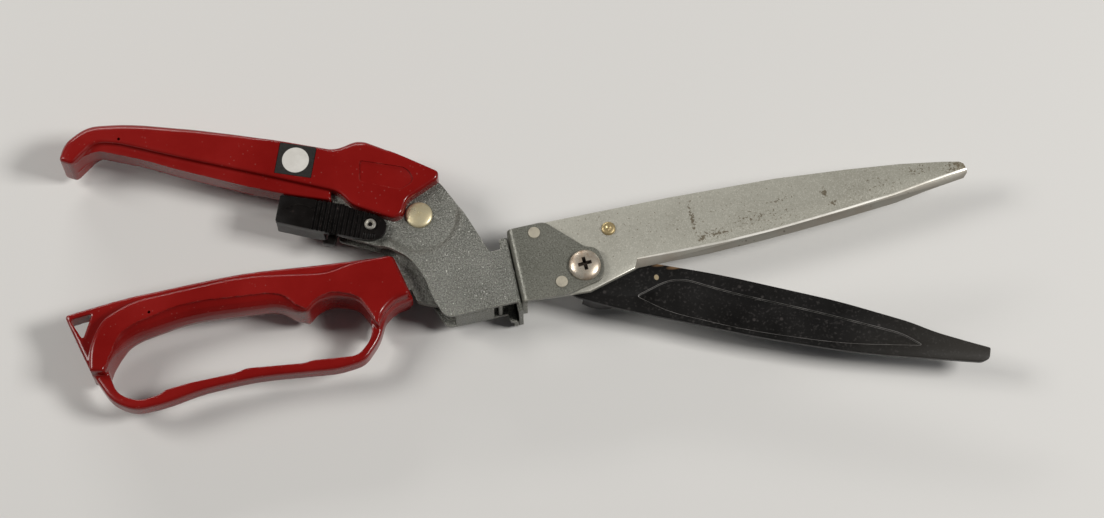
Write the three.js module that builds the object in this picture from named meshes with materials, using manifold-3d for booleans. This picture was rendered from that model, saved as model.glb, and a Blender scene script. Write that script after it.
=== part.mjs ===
// Single-hand grass shears with a swivelling blade head, lying flat.
//
// Millimetres. The swivel axis is the X axis, with the joint between frame and head at
// x = 0 and the blades towards +X. The fixed upper grip is on the +Y side, and +Z is up.
// The handles are drawn open, as the return spring leaves them. At the end the whole
// group is moved so that its origin is the bottom centre of its own box.
//
// Squeezing the lower grip turns its tang about the main rivet. The tang pulls the rod
// back along the swivel axis, the rod pulls the yoke in the head, and the yoke's slot
// turns the lower blade about the pivot screw.

import * as THREE from "three";
import { mergeVertices } from "three/addons/utils/BufferGeometryUtils.js";
import Module from "manifold-3d";

const wasm = await Module();
wasm.setup();

// ---------------------------------------------------------------- driving dimensions

const GAP = 0.3; // between pieces that touch on the real tool
const SHEET = 1.5; // frame plates
const BODY_HALF = 6.5; // frame body, outside half thickness
const LOBE_HALF = 4; // frame plates where they are pressed in round the main rivet
const GRIP_HALF = 9; // grips, at their thickest
const RIM_HALF = 4; // moulded rib along both grips
const GRIP_LAYERS = [
  { step: 0, half: 5.5 }, { step: 1, half: 7.6 }, { step: 2.2, half: GRIP_HALF },
];
const RIM_EDGE = 0.5; // chamfer of the rib
const UPPER_RIM_TOP = 6.5; // the upper grip's rib rises higher towards the near face
const MARGIN = 1; // how far a cutting tool reaches past the face that it cuts

const MAIN_PIVOT = { x: -29.3, y: 29.6 };
const BLADE_PIVOT = { x: 24.8, y: -2.8 };
const HANDLE_TRAVEL = THREE.MathUtils.degToRad(15);
const BLADE_TRAVEL = THREE.MathUtils.degToRad(28);
const BLADE_REST_ANGLE = THREE.MathUtils.degToRad(-26);

// The clevis pin swings evenly to both sides of the line through the main rivet, and the
// drive pin evenly to both sides of the line through the blade pivot.
const CLEVIS_REACH = (2 * MAIN_PIVOT.y) / (1 + Math.cos(HANDLE_TRAVEL / 2));
const ROD_TRAVEL = 2 * CLEVIS_REACH * Math.sin(HANDLE_TRAVEL / 2);
const DRIVE_REACH = ROD_TRAVEL / (2 * Math.sin(BLADE_TRAVEL / 2));
const CLEVIS = {
  x: MAIN_PIVOT.x + CLEVIS_REACH * Math.sin(HANDLE_TRAVEL / 2),
  y: MAIN_PIVOT.y - CLEVIS_REACH * Math.cos(HANDLE_TRAVEL / 2),
};
const DRIVE = {
  x: BLADE_PIVOT.x + DRIVE_REACH * Math.sin(BLADE_TRAVEL / 2),
  y: BLADE_PIVOT.y + DRIVE_REACH * Math.cos(BLADE_TRAVEL / 2),
};
const DRIVE_TOP = BLADE_PIVOT.y + DRIVE_REACH;

const LATCH = { x: -47.2, y: 28.9, angle: THREE.MathUtils.degToRad(159), travel: 4 };

// Stack of the blade head, from the top face of the bracket down.
const BRACKET = { top: 7.5, bottom: 5.8 };
const UPPER = { top: 5.5, bottom: 3.5 };
const LOWER = { top: 3.2, bottom: 1.1 };

// Flanges that face each other across the swivel joint.
const FLANGE = { half: 14, bottom: -13.5, corner: 4 };
const HEAD_FLANGE = { back: GAP, front: 2.3, low: -12.4, high: 16.3, bottom: -10, corner: 9 };

const ROD = { radius: 2, neck: 1.5, shoulder: 12.2, end: 16.3, eye: 4.2, fork: 1.5 };
const BUSH = { bore: 2.3, tube: 3.4, collar: 4.6, front: 4.5, flange: 1.1 };
const RIVET = { shank: 3, head: 4.9, dome: 1.9 };
const SCREW = {
  shank: 2.5, head: 5.7, dome: 2.2, bottom: -9.2, slot: 1.3, slotLength: 5.6, depth: 1.3,
};
const COIL = { mean: 4.95, wire: 0.6, low: -3.4, high: -1.5, turns: 1.5, legEnd: 2.9, steps: 60 };

// ---------------------------------------------------------------- building blocks

const ROUND = 24; // sides of a round piece
const FINE_ROUND = 20; // sides of a small round piece
const HOLE_ROUND = 12; // sides of a small blind hole
const ARC_STEPS = 2; // steps of each rounded corner
const EASE_LIMIT = 0.45; // most of a side that one corner's rounding takes up

function solid(geometry) {
  const bare = geometry.index ? geometry.toNonIndexed() : geometry;
  bare.deleteAttribute("normal");
  bare.deleteAttribute("uv");
  const merged = mergeVertices(bare, 1e-4);
  return new wasm.Manifold(new wasm.Mesh({
    numProp: 3,
    vertProperties: merged.attributes.position.array,
    triVerts: new Uint32Array(merged.index.array),
  }));
}

// Closed outline through corners [x, y, ease]. The ease is how far before and after the
// corner its rounding starts, and it takes up less than half of the shorter side.
function outline(corners) {
  const shape = new THREE.Shape();
  corners.forEach(([x, y, wanted = 0], index) => {
    const corner = new THREE.Vector2(x, y);
    const before = new THREE.Vector2(...corners.at(index - 1)).sub(corner);
    const after = new THREE.Vector2(...corners[(index + 1) % corners.length]).sub(corner);
    const ease = Math.min(wanted, EASE_LIMIT * before.length(), EASE_LIMIT * after.length());
    const start = before.setLength(ease).add(corner);
    const end = after.setLength(ease).add(corner);
    if (index === 0) shape.moveTo(start.x, start.y);
    else shape.lineTo(start.x, start.y);
    if (ease > 0) shape.quadraticCurveTo(x, y, end.x, end.y);
  });
  shape.closePath();
  return shape;
}

// Flat solid between two heights. With a chamfer the outline is kept at mid height.
function slab(shape, low, high, chamfer = 0) {
  const geometry = new THREE.ExtrudeGeometry(shape, {
    depth: high - low - 2 * chamfer,
    curveSegments: ARC_STEPS,
    bevelEnabled: chamfer > 0,
    bevelThickness: chamfer,
    bevelSize: chamfer,
    bevelOffset: -chamfer,
    bevelSegments: 1,
  });
  geometry.translate(0, 0, low + chamfer);
  return solid(geometry);
}

const plate = (corners, low, high, chamfer) => slab(outline(corners), low, high, chamfer);

// The same corners moved inwards by a distance.
function inset(corners, distance) {
  const points = corners.map(([x, y]) => new THREE.Vector2(x, y));
  const inwards = Math.sign(THREE.ShapeUtils.area(points)) * distance;
  const normal = (from, to) => {
    const side = to.clone().sub(from).normalize();
    return new THREE.Vector2(-side.y, side.x);
  };
  return points.map((point, index) => {
    const before = normal(points.at(index - 1), point);
    const after = normal(point, points[(index + 1) % points.length]);
    const shift = before.clone().add(after).multiplyScalar(inwards / (1 + before.dot(after)));
    return [point.x + shift.x, point.y + shift.y, corners[index][2]];
  });
}

// Grip body with rounded edges, built up of layers that step in towards both faces.
function gripBody(corners) {
  return GRIP_LAYERS
    .map(({ step, half }) => plate(inset(corners, step), -half, half))
    .reduce((whole, layer) => whole.add(layer));
}

// Block between two opposite corners.
function block([x0, y0, z0], [x1, y1, z1]) {
  const geometry = new THREE.BoxGeometry(x1 - x0, y1 - y0, z1 - z0);
  geometry.translate((x0 + x1) / 2, (y0 + y1) / 2, (z0 + z1) / 2);
  return solid(geometry);
}

// Straight bar in the XY plane from one point to another.
function bar(from, to, width, low, high) {
  const along = new THREE.Vector2(to[0] - from[0], to[1] - from[1]);
  const geometry = new THREE.BoxGeometry(along.length(), width, high - low);
  geometry.rotateZ(along.angle());
  geometry.translate((from[0] + to[0]) / 2, (from[1] + to[1]) / 2, (low + high) / 2);
  return solid(geometry);
}

function post({ x, y }, radius, low, high, sides = ROUND) {
  const geometry = new THREE.CylinderGeometry(radius, radius, high - low, sides);
  geometry.rotateX(Math.PI / 2);
  geometry.translate(x, y, (low + high) / 2);
  return solid(geometry);
}

// Round piece along the swivel axis.
function spindle(radius, back, front, sides = ROUND) {
  const geometry = new THREE.CylinderGeometry(radius, radius, front - back, sides);
  geometry.rotateZ(Math.PI / 2);
  geometry.translate((back + front) / 2, 0, 0);
  return solid(geometry);
}

// Turned piece on a vertical axis, from a profile of [radius, height].
function turned({ x, y }, profile, sides = ROUND) {
  const points = profile.map(([radius, height]) => new THREE.Vector2(radius, height));
  const geometry = new THREE.LatheGeometry(points, sides);
  geometry.rotateX(Math.PI / 2);
  geometry.translate(x, y, 0);
  return solid(geometry);
}

function ring(centre, inner, outer, low, high) {
  return turned(centre, [[inner, low], [outer, low], [outer, high], [inner, high], [inner, low]]);
}

// Domed rivet or screw head standing on the height "base", towards +Z or -Z.
function dome(centre, radius, base, height) {
  const steps = 4;
  const profile = [[0, base], [radius, base]];
  for (let step = 1; step < steps; step += 1) {
    const angle = (step / steps) * (Math.PI / 2);
    profile.push([radius * Math.cos(angle), base + height * Math.sin(angle)]);
  }
  profile.push([0, base + height]);
  if (height < 0) profile.reverse();
  return turned(centre, profile);
}

// Turn a solid about a vertical line by an angle in radians.
function turnedAbout(piece, { x, y }, angle) {
  const degrees = THREE.MathUtils.radToDeg(angle);
  return piece.translate([-x, -y, 0]).rotate([0, 0, degrees]).translate([x, y, 0]);
}

const group = new THREE.Group();

function addPart(name, piece, color, roughness, metalness) {
  const made = piece.getMesh();
  const geometry = new THREE.BufferGeometry();
  geometry.setAttribute("position", new THREE.BufferAttribute(made.vertProperties, 3));
  geometry.setIndex(new THREE.BufferAttribute(made.triVerts, 1));
  const material = new THREE.MeshStandardMaterial({ color, roughness, metalness });
  const mesh = new THREE.Mesh(geometry, material);
  mesh.name = name;
  group.add(mesh);
}

const addRedPlastic = (name, piece) => addPart(name, piece, 0x86130f, 0.3, 0);
const addBlackPlastic = (name, piece) => addPart(name, piece, 0x17161a, 0.45, 0);
const addPaintedSteel = (name, piece) => addPart(name, piece, 0x7b7c75, 0.45, 0.3);
const addSteel = (name, piece) => addPart(name, piece, 0xb4ac98, 0.35, 0.9);

// ---------------------------------------------------------------- frame plates

// One frame plate. "near" is the upper one, the far one is its mirror image below.
const RAMP = { inner: 13.3, outer: 17.4 }; // radii of the sloping step round the rivet

const BODY_PLAN = [
  [-14.6, 30], [-7.4, 10, 2], [-3, 10], [-1, 10], [-1, -10.8], [-27.6, -11.3, 3.2],
  [-30.4, -3.5, 2], [-31.9, 5, 3], [-35.5, 13.2, 4], [-42, 18.6, 2], [-36, 30],
];
const TAIL_PLAN = [
  [-19.5, 40.5, 2], [-33, 50, 3], [-47, 55.5, 3], [-60, 52], [-59.5, 43.5, 1],
  [-57, 36, 3], [-59.4, 28.4, 1.5], [-46.5, 21.6, 3], [-40.5, 18.4, 1], [-29.3, 29.6],
];
const TAIL_BAR = { from: [-118, 77], to: [-52, 49], width: 9 };

function framePlate() {
  const top = BODY_HALF;
  const drop = BODY_HALF - LOBE_HALF;
  const raised = plate(BODY_PLAN, top - SHEET, top)
    .subtract(post(MAIN_PIVOT, RAMP.outer, top - 2 * SHEET, top + SHEET));
  const step = turned(MAIN_PIVOT, [
    [RAMP.inner - SHEET, top - drop - SHEET], [RAMP.inner, top - drop - SHEET],
    [RAMP.outer, top - SHEET], [RAMP.outer + SHEET, top - SHEET],
    [RAMP.outer + SHEET, top], [RAMP.outer - SHEET / 2, top],
    [RAMP.inner - SHEET / 2, top - drop], [RAMP.inner - SHEET, top - drop],
    [RAMP.inner - SHEET, top - drop - SHEET],
  ]).intersect(plate(BODY_PLAN, 0, 2 * BODY_HALF));
  const lobe = post(MAIN_PIVOT, RAMP.inner, LOBE_HALF - SHEET, LOBE_HALF);
  const tail = plate(TAIL_PLAN, LOBE_HALF - SHEET, LOBE_HALF);
  const core = bar(TAIL_BAR.from, TAIL_BAR.to, TAIL_BAR.width, LOBE_HALF - SHEET, LOBE_HALF);
  return raised.add(step).add(lobe).add(tail).add(core)
    .subtract(post(MAIN_PIVOT, RIVET.shank + GAP, 0, BODY_HALF));
}

function flangeSheet(front, top) {
  const { half, bottom, corner } = FLANGE;
  const sheet = plate([
    [bottom, -half, corner], [bottom, half, corner], [top, half, corner / 2],
    [top, -half, corner / 2],
  ], 0, SHEET);
  // The outline is drawn with z along x, and stood up across the swivel axis.
  return sheet.rotate([0, -90, 0]).translate([front, 0, 0]);
}

// ------------- near plate: joggled body, with the front flange sheet bent down from it
const EYELET = { head: 2.9, shank: 1.8, bore: 1, top: 7.4, lip: 0.6, seat: 0.1 };
const TAB = {
  from: [-8.3, -10.8, -BODY_HALF + SHEET + GAP],
  to: [-6.9, -9.3, BODY_HALF - SHEET / 2],
};
const along = new THREE.Vector2(Math.cos(LATCH.angle), Math.sin(LATCH.angle));
const across = new THREE.Vector2(along.y, -along.x);
const onLatch = (s, n) => [
  LATCH.x + s * along.x + n * across.x,
  LATCH.y + s * along.y + n * across.y,
];
const latchPlan = (corners) => corners.map(([s, n, ease]) => [...onLatch(s, n), ease]);
const eyeletSlot = bar(
  onLatch(-EYELET.shank - GAP, 0), onLatch(LATCH.travel + EYELET.shank + GAP, 0),
  2 * (EYELET.shank + GAP), 0, BODY_HALF,
);
const bore = spindle(BUSH.tube + GAP, -3 * SHEET, 3 * SHEET);
const nearPlate = framePlate()
  .add(flangeSheet(0, BODY_HALF))
  .add(block(TAB.from, TAB.to))
  .subtract(eyeletSlot)
  .subtract(bore);
addPaintedSteel("near_plate", nearPlate);

// ------------- far plate: mirror image, its flange sheet lies behind the near one's
const WEB = {
  from: [-24, -11.1, -BODY_HALF + SHEET / 2],
  to: [-10, -9.6, BODY_HALF - SHEET - GAP],
};
const farFlangeFront = -SHEET - GAP;
const farPlate = framePlate().rotate([180, 0, 0]).mirror([0, 1, 0])
  .subtract(block([farFlangeFront, -FLANGE.half, -BODY_HALF - MARGIN], [1, FLANGE.half, BODY_HALF]))
  .add(flangeSheet(farFlangeFront, -BODY_HALF + SHEET))
  .add(block(WEB.from, WEB.to))
  .subtract(spindle(BUSH.collar + GAP, -3 * SHEET, 3 * SHEET));
addPaintedSteel("far_plate", farPlate);

// ---------------------------------------------------------------- upper grip

const UPPER_GRIP_PLAN = [
  [-152.8, 76, 1.5], [-150, 82.6, 4], [-141, 87.8, 5], [-126, 85.6, 6], [-99, 77, 10],
  [-73, 67, 8], [-54, 59.4, 4], [-45.5, 62.2, 3.5], [-32, 52.8, 5], [-19.2, 43.2, 1.5],
  [-20.2, 40.4, 1], [-29.5, 36.4, 3], [-32.6, 34.8, 1.5], [-35.3, 29.6, 2.5],
  [-38.6, 28.8, 1.5], [-52.6, 37.2, 3], [-56.2, 43.2, 3], [-82.5, 55.6, 10],
  [-109.6, 67.9, 8], [-131, 78.2, 4], [-139, 80.2, 3], [-148.4, 73.4, 1.5],
];
const UPPER_RIM_PLAN = [
  [-147.6, 72.6, 1], [-139.5, 76.4, 3], [-136, 76.2, 3], [-122, 70.4, 6],
  [-110.9, 64.2, 6], [-78.5, 48.2, 8], [-61.4, 42.0, 0], [-61.4, 50, 0],
  [-82, 60, 5], [-110, 72, 5], [-137, 83, 4], [-148.5, 77, 2],
];
// Slot that takes the frame plates, open at the front and at the lower side.
const GRIP_SLOT_PLAN = [
  [-61, 59], [-54, 55.8, 2], [-45.5, 58.6, 2], [-33, 50.6, 2], [-23, 43.4], [-17, 41],
  [-17, 20], [-61, 20],
];
const D_MARK_PLAN = [
  [-46.5, 53.2, 1.5], [-30, 46.8, 3.5], [-28.3, 41.2, 3], [-34, 39, 1], [-48, 45.2, 1.5],
];
const D_MARK_DEPTH = 0.5;
const PIN_HOLE = { x: -130.2, y: 79.4, radius: 0.6, depth: 5 };
const LABEL = {
  x: -69, y: 58, halfX: 6.6, halfY: 5.95, turn: -0.36, thickness: 0.5, recess: 0.8,
};

function labelShape(clearance, low, high) {
  const halfX = LABEL.halfX + clearance;
  const halfY = LABEL.halfY + clearance;
  return block([-halfX, -halfY, low], [halfX, halfY, high])
    .rotate([0, 0, THREE.MathUtils.radToDeg(LABEL.turn)])
    .translate([LABEL.x, LABEL.y, 0]);
}

// Blind hole in the near face of a grip, left by a locating pin of its mould.
function pinHole(at) {
  return post(at, at.radius, GRIP_HALF - at.depth, GRIP_HALF + MARGIN, HOLE_ROUND);
}

const slotHalf = LOBE_HALF + GAP;
const upperGrip = gripBody(UPPER_GRIP_PLAN)
  .add(plate(UPPER_RIM_PLAN, -RIM_HALF, UPPER_RIM_TOP, RIM_EDGE))
  .subtract(plate(GRIP_SLOT_PLAN, -slotHalf, slotHalf))
  .subtract(bar(TAIL_BAR.from, TAIL_BAR.to, TAIL_BAR.width + 2 * GAP, -slotHalf, slotHalf))
  .subtract(pinHole(PIN_HOLE))
  .subtract(plate(D_MARK_PLAN, GRIP_HALF - D_MARK_DEPTH, GRIP_HALF + MARGIN))
  .subtract(labelShape(GAP, GRIP_HALF - LABEL.recess, GRIP_HALF + MARGIN));
addRedPlastic("upper_grip", upperGrip);
const labelLow = GRIP_HALF - LABEL.recess + GAP;
const gripLabel = labelShape(0, labelLow, labelLow + LABEL.thickness);
addPart("grip_label", gripLabel, 0x141312, 0.5, 0);

// ---------------------------------------------------------------- main rivet

const RIVET_WASHER = { outer: 7.5, thickness: 0.4 };
const rivetBase = LOBE_HALF + GAP;
const mainRivet = post(MAIN_PIVOT, RIVET.shank, -rivetBase, rivetBase)
  .add(dome(MAIN_PIVOT, RIVET.head, rivetBase, RIVET.dome))
  .add(dome(MAIN_PIVOT, RIVET.head, -rivetBase, -RIVET.dome));
addSteel("main_rivet", mainRivet);

const TANG_HALF = 1.5;
[["near_pivot_washer", 1], ["far_pivot_washer", -1]].forEach(([name, side]) => {
  const middle = side * (TANG_HALF + LOBE_HALF - SHEET) / 2;
  const low = middle - RIVET_WASHER.thickness / 2;
  const high = middle + RIVET_WASHER.thickness / 2;
  addSteel(name, ring(MAIN_PIVOT, RIVET.shank + GAP, RIVET_WASHER.outer, low, high));
});

// ---------------------------------------------------------------- lower handle

const LOWER_RIM_PLAN = [
  [-160.4, 18.6, 1.5], [-137.6, 20.8, 8], [-95, 21.4, 10], [-67.5, 18.7, 8],
  [-41.4, 16.8, 1.5], [-37.3, -1.3, 1], [-43.5, -2.2, 3], [-48, -5.2, 2.5],
  [-52, -13.5, 3], [-58.5, -20.2, 3], [-68, -21.4, 5], [-97, -18.2, 8],
  [-117, -18.8, 8], [-130, -21.2, 5], [-141.5, -21.6, 4], [-149, -16.6, 4],
  [-154.6, -4, 5],
];
const LOOP_HOLE_PLAN = [
  [-148.6, -4, 3], [-146.6, -14.4, 4], [-139.5, -18.4, 3], [-131, -17.2, 3],
  [-121, -15.4, 4], [-99.4, -14.4, 8], [-74.1, -17.2, 6], [-60.5, -17.8, 3],
  [-54.8, -12.6, 3], [-53.4, -5.5, 3], [-57, 2, 3], [-65, 4.9, 3], [-71, 4.2, 2.5],
  [-75.2, 0.6, 1.5], [-79.5, 2, 2], [-85.5, 6, 4], [-116.3, 8.2, 10], [-138.5, 6, 5],
];
const LOWER_GRIP_PLAN = [
  [-150.6, 1, 3], [-149.5, 11, 5], [-138, 16.4, 6], [-95, 18.2, 10], [-66, 13.4, 5],
  [-56.5, 15.4, 4], [-42.2, 15.2, 1.5], [-38.4, -0.6, 1], [-44, -1.6, 2.5],
  [-48.6, -5, 2], [-51.6, -10, 1], [-53.4, -5.5, 2], [-57, 2, 3], [-65, 4.9, 3],
  [-71, 4.2, 2.5], [-75.2, 0.6, 1.5], [-79.5, 2, 2], [-85.5, 6, 4],
  [-116.3, 8.2, 10], [-138.5, 6, 5], [-147, -2, 2],
];
const HANGING_EYE_PLAN = [[-157.8, 15.4, 0.8], [-151, 15.8, 0.8], [-155.4, 9.4, 0.8]];
const TANG_TAIL = { from: [-116, 13], to: [-34, 7], width: 8 };
const LOWER_PIN_HOLE = { x: -130.3, y: 11.7, radius: 0.6, depth: 6 };

// Latch hook, in the latch's own directions, and the pocket that it enters.
const HOOK = {
  back: 11.8, front: 14.8, toe: 17, tip: -9.6, toeTop: -8.7, root: -2, low: -1.9, high: 1.6,
};
const POCKET = { headroom: 0.6, mouth: 6 };

function hookPocket() {
  const low = HOOK.low - GAP;
  const high = HOOK.high + GAP + POCKET.headroom;
  const reach = LATCH.travel + GAP;
  const mouth = plate(latchPlan([
    [HOOK.back - GAP, HOOK.tip - GAP], [HOOK.front + reach, HOOK.tip - GAP],
    [HOOK.front + reach, HOOK.tip + POCKET.mouth], [HOOK.back - GAP, HOOK.tip + POCKET.mouth],
  ]).reverse(), low, high);
  const undercut = plate(latchPlan([
    [HOOK.back, HOOK.tip - GAP], [HOOK.toe + reach, HOOK.tip - GAP],
    [HOOK.toe + reach, HOOK.toeTop + GAP], [HOOK.back, HOOK.toeTop + GAP],
  ]).reverse(), low, high);
  return turnedAbout(mouth.add(undercut), MAIN_PIVOT, HANDLE_TRAVEL);
}

const tailPocket = bar(
  [TANG_TAIL.from[0] - GAP, TANG_TAIL.from[1]], TANG_TAIL.to, TANG_TAIL.width + 2 * GAP,
  -TANG_HALF - GAP, TANG_HALF + GAP,
);
const lowerGrip = plate(LOWER_RIM_PLAN, -RIM_HALF, RIM_HALF, RIM_EDGE)
  .subtract(plate(LOOP_HOLE_PLAN, -GRIP_HALF, GRIP_HALF))
  .add(gripBody(LOWER_GRIP_PLAN))
  .subtract(plate(HANGING_EYE_PLAN, -GRIP_HALF, GRIP_HALF))
  .subtract(pinHole(LOWER_PIN_HOLE))
  .subtract(tailPocket)
  .subtract(hookPocket());
addRedPlastic("lower_grip", lowerGrip);

const TANG_PLAN = [
  [-20.4, 34, 4], [-25, 38.6, 4], [-34, 38.6, 4], [-38.4, 34, 4], [-38.6, 22, 3],
  [-40.6, 17, 1], [-36.2, -1.4, 1], [-30, -4.6, 3], [-20.6, -4.6, 3],
];
const CLEVIS_PIN = { radius: 1.8, head: 2.9, headHeight: 0.7 };
const tang = plate(TANG_PLAN, -TANG_HALF, TANG_HALF)
  .add(bar(TANG_TAIL.from, TANG_TAIL.to, TANG_TAIL.width, -TANG_HALF, TANG_HALF))
  .subtract(post(MAIN_PIVOT, RIVET.shank + GAP, -GRIP_HALF, GRIP_HALF))
  .subtract(post(CLEVIS, CLEVIS_PIN.radius + GAP, -GRIP_HALF, GRIP_HALF));
addPaintedSteel("handle_tang", tang);

const forkOuter = TANG_HALF + GAP + ROD.fork;
const clevisPin = post(CLEVIS, CLEVIS_PIN.radius, -forkOuter - GAP, forkOuter + GAP)
  .add(post(CLEVIS, CLEVIS_PIN.head, forkOuter + GAP, forkOuter + GAP + CLEVIS_PIN.headHeight))
  .add(post(CLEVIS, CLEVIS_PIN.head, -forkOuter - GAP - CLEVIS_PIN.headHeight, -forkOuter - GAP));
addSteel("clevis_pin", clevisPin);

// ---------------------------------------------------------------- pull rod

const forkEye = { x: CLEVIS.x, y: 0 };
const FORK = { root: 3, side: 1, slack: 0.5 }; // its slots let the swinging pin rise and fall
const forkRoot = CLEVIS.x + ROD.eye + FORK.root;
const forkHalf = ROD.radius + FORK.side;
const rodForks = [1, -1].map((side) => {
  const inner = side * (TANG_HALF + GAP);
  const outer = side * forkOuter;
  const [low, high] = side > 0 ? [inner, outer] : [outer, inner];
  return post(forkEye, ROD.eye, low, high)
    .add(block([CLEVIS.x, -forkHalf, low], [forkRoot + FORK.root, forkHalf, high]));
});
const pinRoom = (y) => post({ x: CLEVIS.x, y }, CLEVIS_PIN.radius + GAP, -GRIP_HALF, GRIP_HALF);
const pullRod = spindle(ROD.radius, forkRoot, ROD.shoulder, FINE_ROUND)
  .add(spindle(ROD.neck, ROD.shoulder - MARGIN, ROD.end, FINE_ROUND))
  .add(block([forkRoot, -forkHalf, -forkOuter], [forkRoot + FORK.root, forkHalf, forkOuter]))
  .add(rodForks[0])
  .add(rodForks[1])
  .subtract(pinRoom(FORK.slack))
  .subtract(pinRoom(-FORK.slack));
addSteel("pull_rod", pullRod);

const CLIP = { back: 15, front: 15.8, outer: 3, slotHalf: 0.8 };
const rodClip = spindle(CLIP.outer, CLIP.back, CLIP.front, FINE_ROUND)
  .subtract(spindle(ROD.neck + GAP / 2, CLIP.back - MARGIN, CLIP.front + MARGIN, FINE_ROUND))
  .subtract(block(
    [CLIP.back - MARGIN, -CLIP.slotHalf, -CLIP.outer - MARGIN],
    [CLIP.front + MARGIN, CLIP.slotHalf, 0],
  ));
addSteel("rod_clip", rodClip);

// ---------------------------------------------------------------- swivel joint

const bushBack = -SHEET - GAP;
const swivelBush = spindle(BUSH.collar, bushBack - BUSH.flange, bushBack)
  .add(spindle(BUSH.tube, bushBack - BUSH.flange, BUSH.front))
  .add(spindle(BUSH.collar, BUSH.front - BUSH.flange, BUSH.front))
  .subtract(spindle(BUSH.bore, -GRIP_HALF, GRIP_HALF, FINE_ROUND));
addSteel("swivel_bush", swivelBush);

const WAVE_WASHER = { back: HEAD_FLANGE.front + 0.2, front: HEAD_FLANGE.front + 0.8, outer: 5.3 };
const waveWasher = spindle(WAVE_WASHER.outer, WAVE_WASHER.back, WAVE_WASHER.front)
  .subtract(spindle(BUSH.tube + GAP, 0, GRIP_HALF));
addSteel("swivel_washer", waveWasher);

// ---------------------------------------------------------------- latch

const LATCH_PLAN = [
  [34, -4.2, 0.8], [34, 6.1, 1], [10.8, 6.2, 2], [7.5, 5, 3], [-1, 3.8, 3], [-5.6, 1.4, 3],
  [-5.6, -2, 3], [-1, -5.4, 4], [22, -5.1, 3],
];
const CHEEK = { low: LOBE_HALF + GAP, high: 6.8, edge: 0.6 };
const LATCH_BLOCK = { back: 16.2, bottom: -3.7, lap: 0.7 };
const GROOVES = { first: 4.8, pitch: 1.71, count: 10, low: -7, high: 8, width: 0.9, depth: 0.5 };
const NECK = { low: -5, lap: 1 }; // joins the hook to the sliding plate
const COUNTERBORE = 0.4; // depth of the seat for the eyelet's rim

function latchGrooves() {
  const floor = CHEEK.high - GROOVES.depth;
  const grooves = [];
  for (let index = 0; index < GROOVES.count; index += 1) {
    const s = GROOVES.first + GROOVES.pitch * index;
    const from = onLatch(s, GROOVES.low);
    const to = onLatch(s, GROOVES.high);
    grooves.push(bar(from, to, GROOVES.width, floor, CHEEK.high + MARGIN));
  }
  return grooves.reduce((all, groove) => all.add(groove));
}

const latchBlockPlan = latchPlan([
  [34, -4.2, 0.8], [34, 6.1, 1], [LATCH_BLOCK.back, 6.1], [LATCH_BLOCK.back, -5.1], [22, -5.1, 3],
]).reverse();
const hookPlan = latchPlan([
  [HOOK.back, HOOK.root], [HOOK.back, HOOK.tip], [HOOK.toe, HOOK.tip], [HOOK.toe, HOOK.toeTop],
  [HOOK.front, HOOK.toeTop], [HOOK.front, HOOK.root],
]);
const neckPlan = latchPlan([
  [HOOK.back, HOOK.root], [HOOK.back, NECK.low], [HOOK.front, NECK.low], [HOOK.front, HOOK.root],
]);
const latch = plate(latchPlan(LATCH_PLAN).reverse(), CHEEK.low, CHEEK.high, CHEEK.edge)
  .add(plate(latchBlockPlan, LATCH_BLOCK.bottom, CHEEK.low + LATCH_BLOCK.lap))
  .add(plate(hookPlan, HOOK.low, HOOK.high))
  .add(plate(neckPlan, HOOK.low, CHEEK.low + NECK.lap))
  .subtract(latchGrooves())
  .subtract(post(LATCH, EYELET.shank + GAP, CHEEK.low - MARGIN, CHEEK.high + MARGIN))
  .subtract(post(LATCH, EYELET.head + GAP, CHEEK.high - COUNTERBORE, CHEEK.high + MARGIN));
addBlackPlastic("latch", latch);

const eyeletBottom = LOBE_HALF - SHEET - GAP;
const eyelet = turned(LATCH, [
  [EYELET.bore, eyeletBottom - EYELET.lip], [EYELET.head, eyeletBottom - EYELET.lip],
  [EYELET.head, eyeletBottom], [EYELET.shank, eyeletBottom],
  [EYELET.shank, CHEEK.high - EYELET.seat], [EYELET.head, CHEEK.high - EYELET.seat],
  [EYELET.head - EYELET.lip, EYELET.top], [EYELET.bore, EYELET.top],
  [EYELET.bore, eyeletBottom - EYELET.lip],
], FINE_ROUND);
addSteel("latch_eyelet", eyelet);

// ---------------------------------------------------------------- blade head

const BRACKET_PLAN = [
  [HEAD_FLANGE.back, 16.3, 1], [14, 16.6, 2], [26, 4.6, 1], [30.4, 3, 2], [32.2, -3, 3],
  [30.2, -9, 3], [24.6, -10, 2], [17.2, -12, 3], [HEAD_FLANGE.back, -11.2],
];
const BRACKET_RIVETS = [{ x: 9.6, y: 13.2 }, { x: 15.5, y: -7.1 }];
const BRACKET_RIVET = { shank: 1.3, head: 2.2, headHeight: 0.7 };
const BLADE_RIVET = { x: 36.2, y: 9.9, shank: 1.5, head: 2.6, headHeight: 0.9 };

const headFlange = plate([
  [HEAD_FLANGE.bottom, HEAD_FLANGE.low, HEAD_FLANGE.corner],
  [HEAD_FLANGE.bottom, HEAD_FLANGE.high, HEAD_FLANGE.corner],
  [BRACKET.top, HEAD_FLANGE.high], [BRACKET.top, HEAD_FLANGE.low + 1.2],
], HEAD_FLANGE.back, HEAD_FLANGE.front).rotate([0, -90, 0]).mirror([1, 0, 0]);
const shankHole = (at, radius) => post(at, radius + GAP, -GRIP_HALF, 2 * GRIP_HALF);
const bracket = plate(BRACKET_PLAN, BRACKET.bottom, BRACKET.top)
  .add(headFlange)
  .subtract(bore)
  .subtract(shankHole(BLADE_PIVOT, SCREW.shank))
  .subtract(shankHole(BRACKET_RIVETS[0], BRACKET_RIVET.shank))
  .subtract(shankHole(BRACKET_RIVETS[1], BRACKET_RIVET.shank));
addPaintedSteel("head_bracket", bracket);

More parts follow.
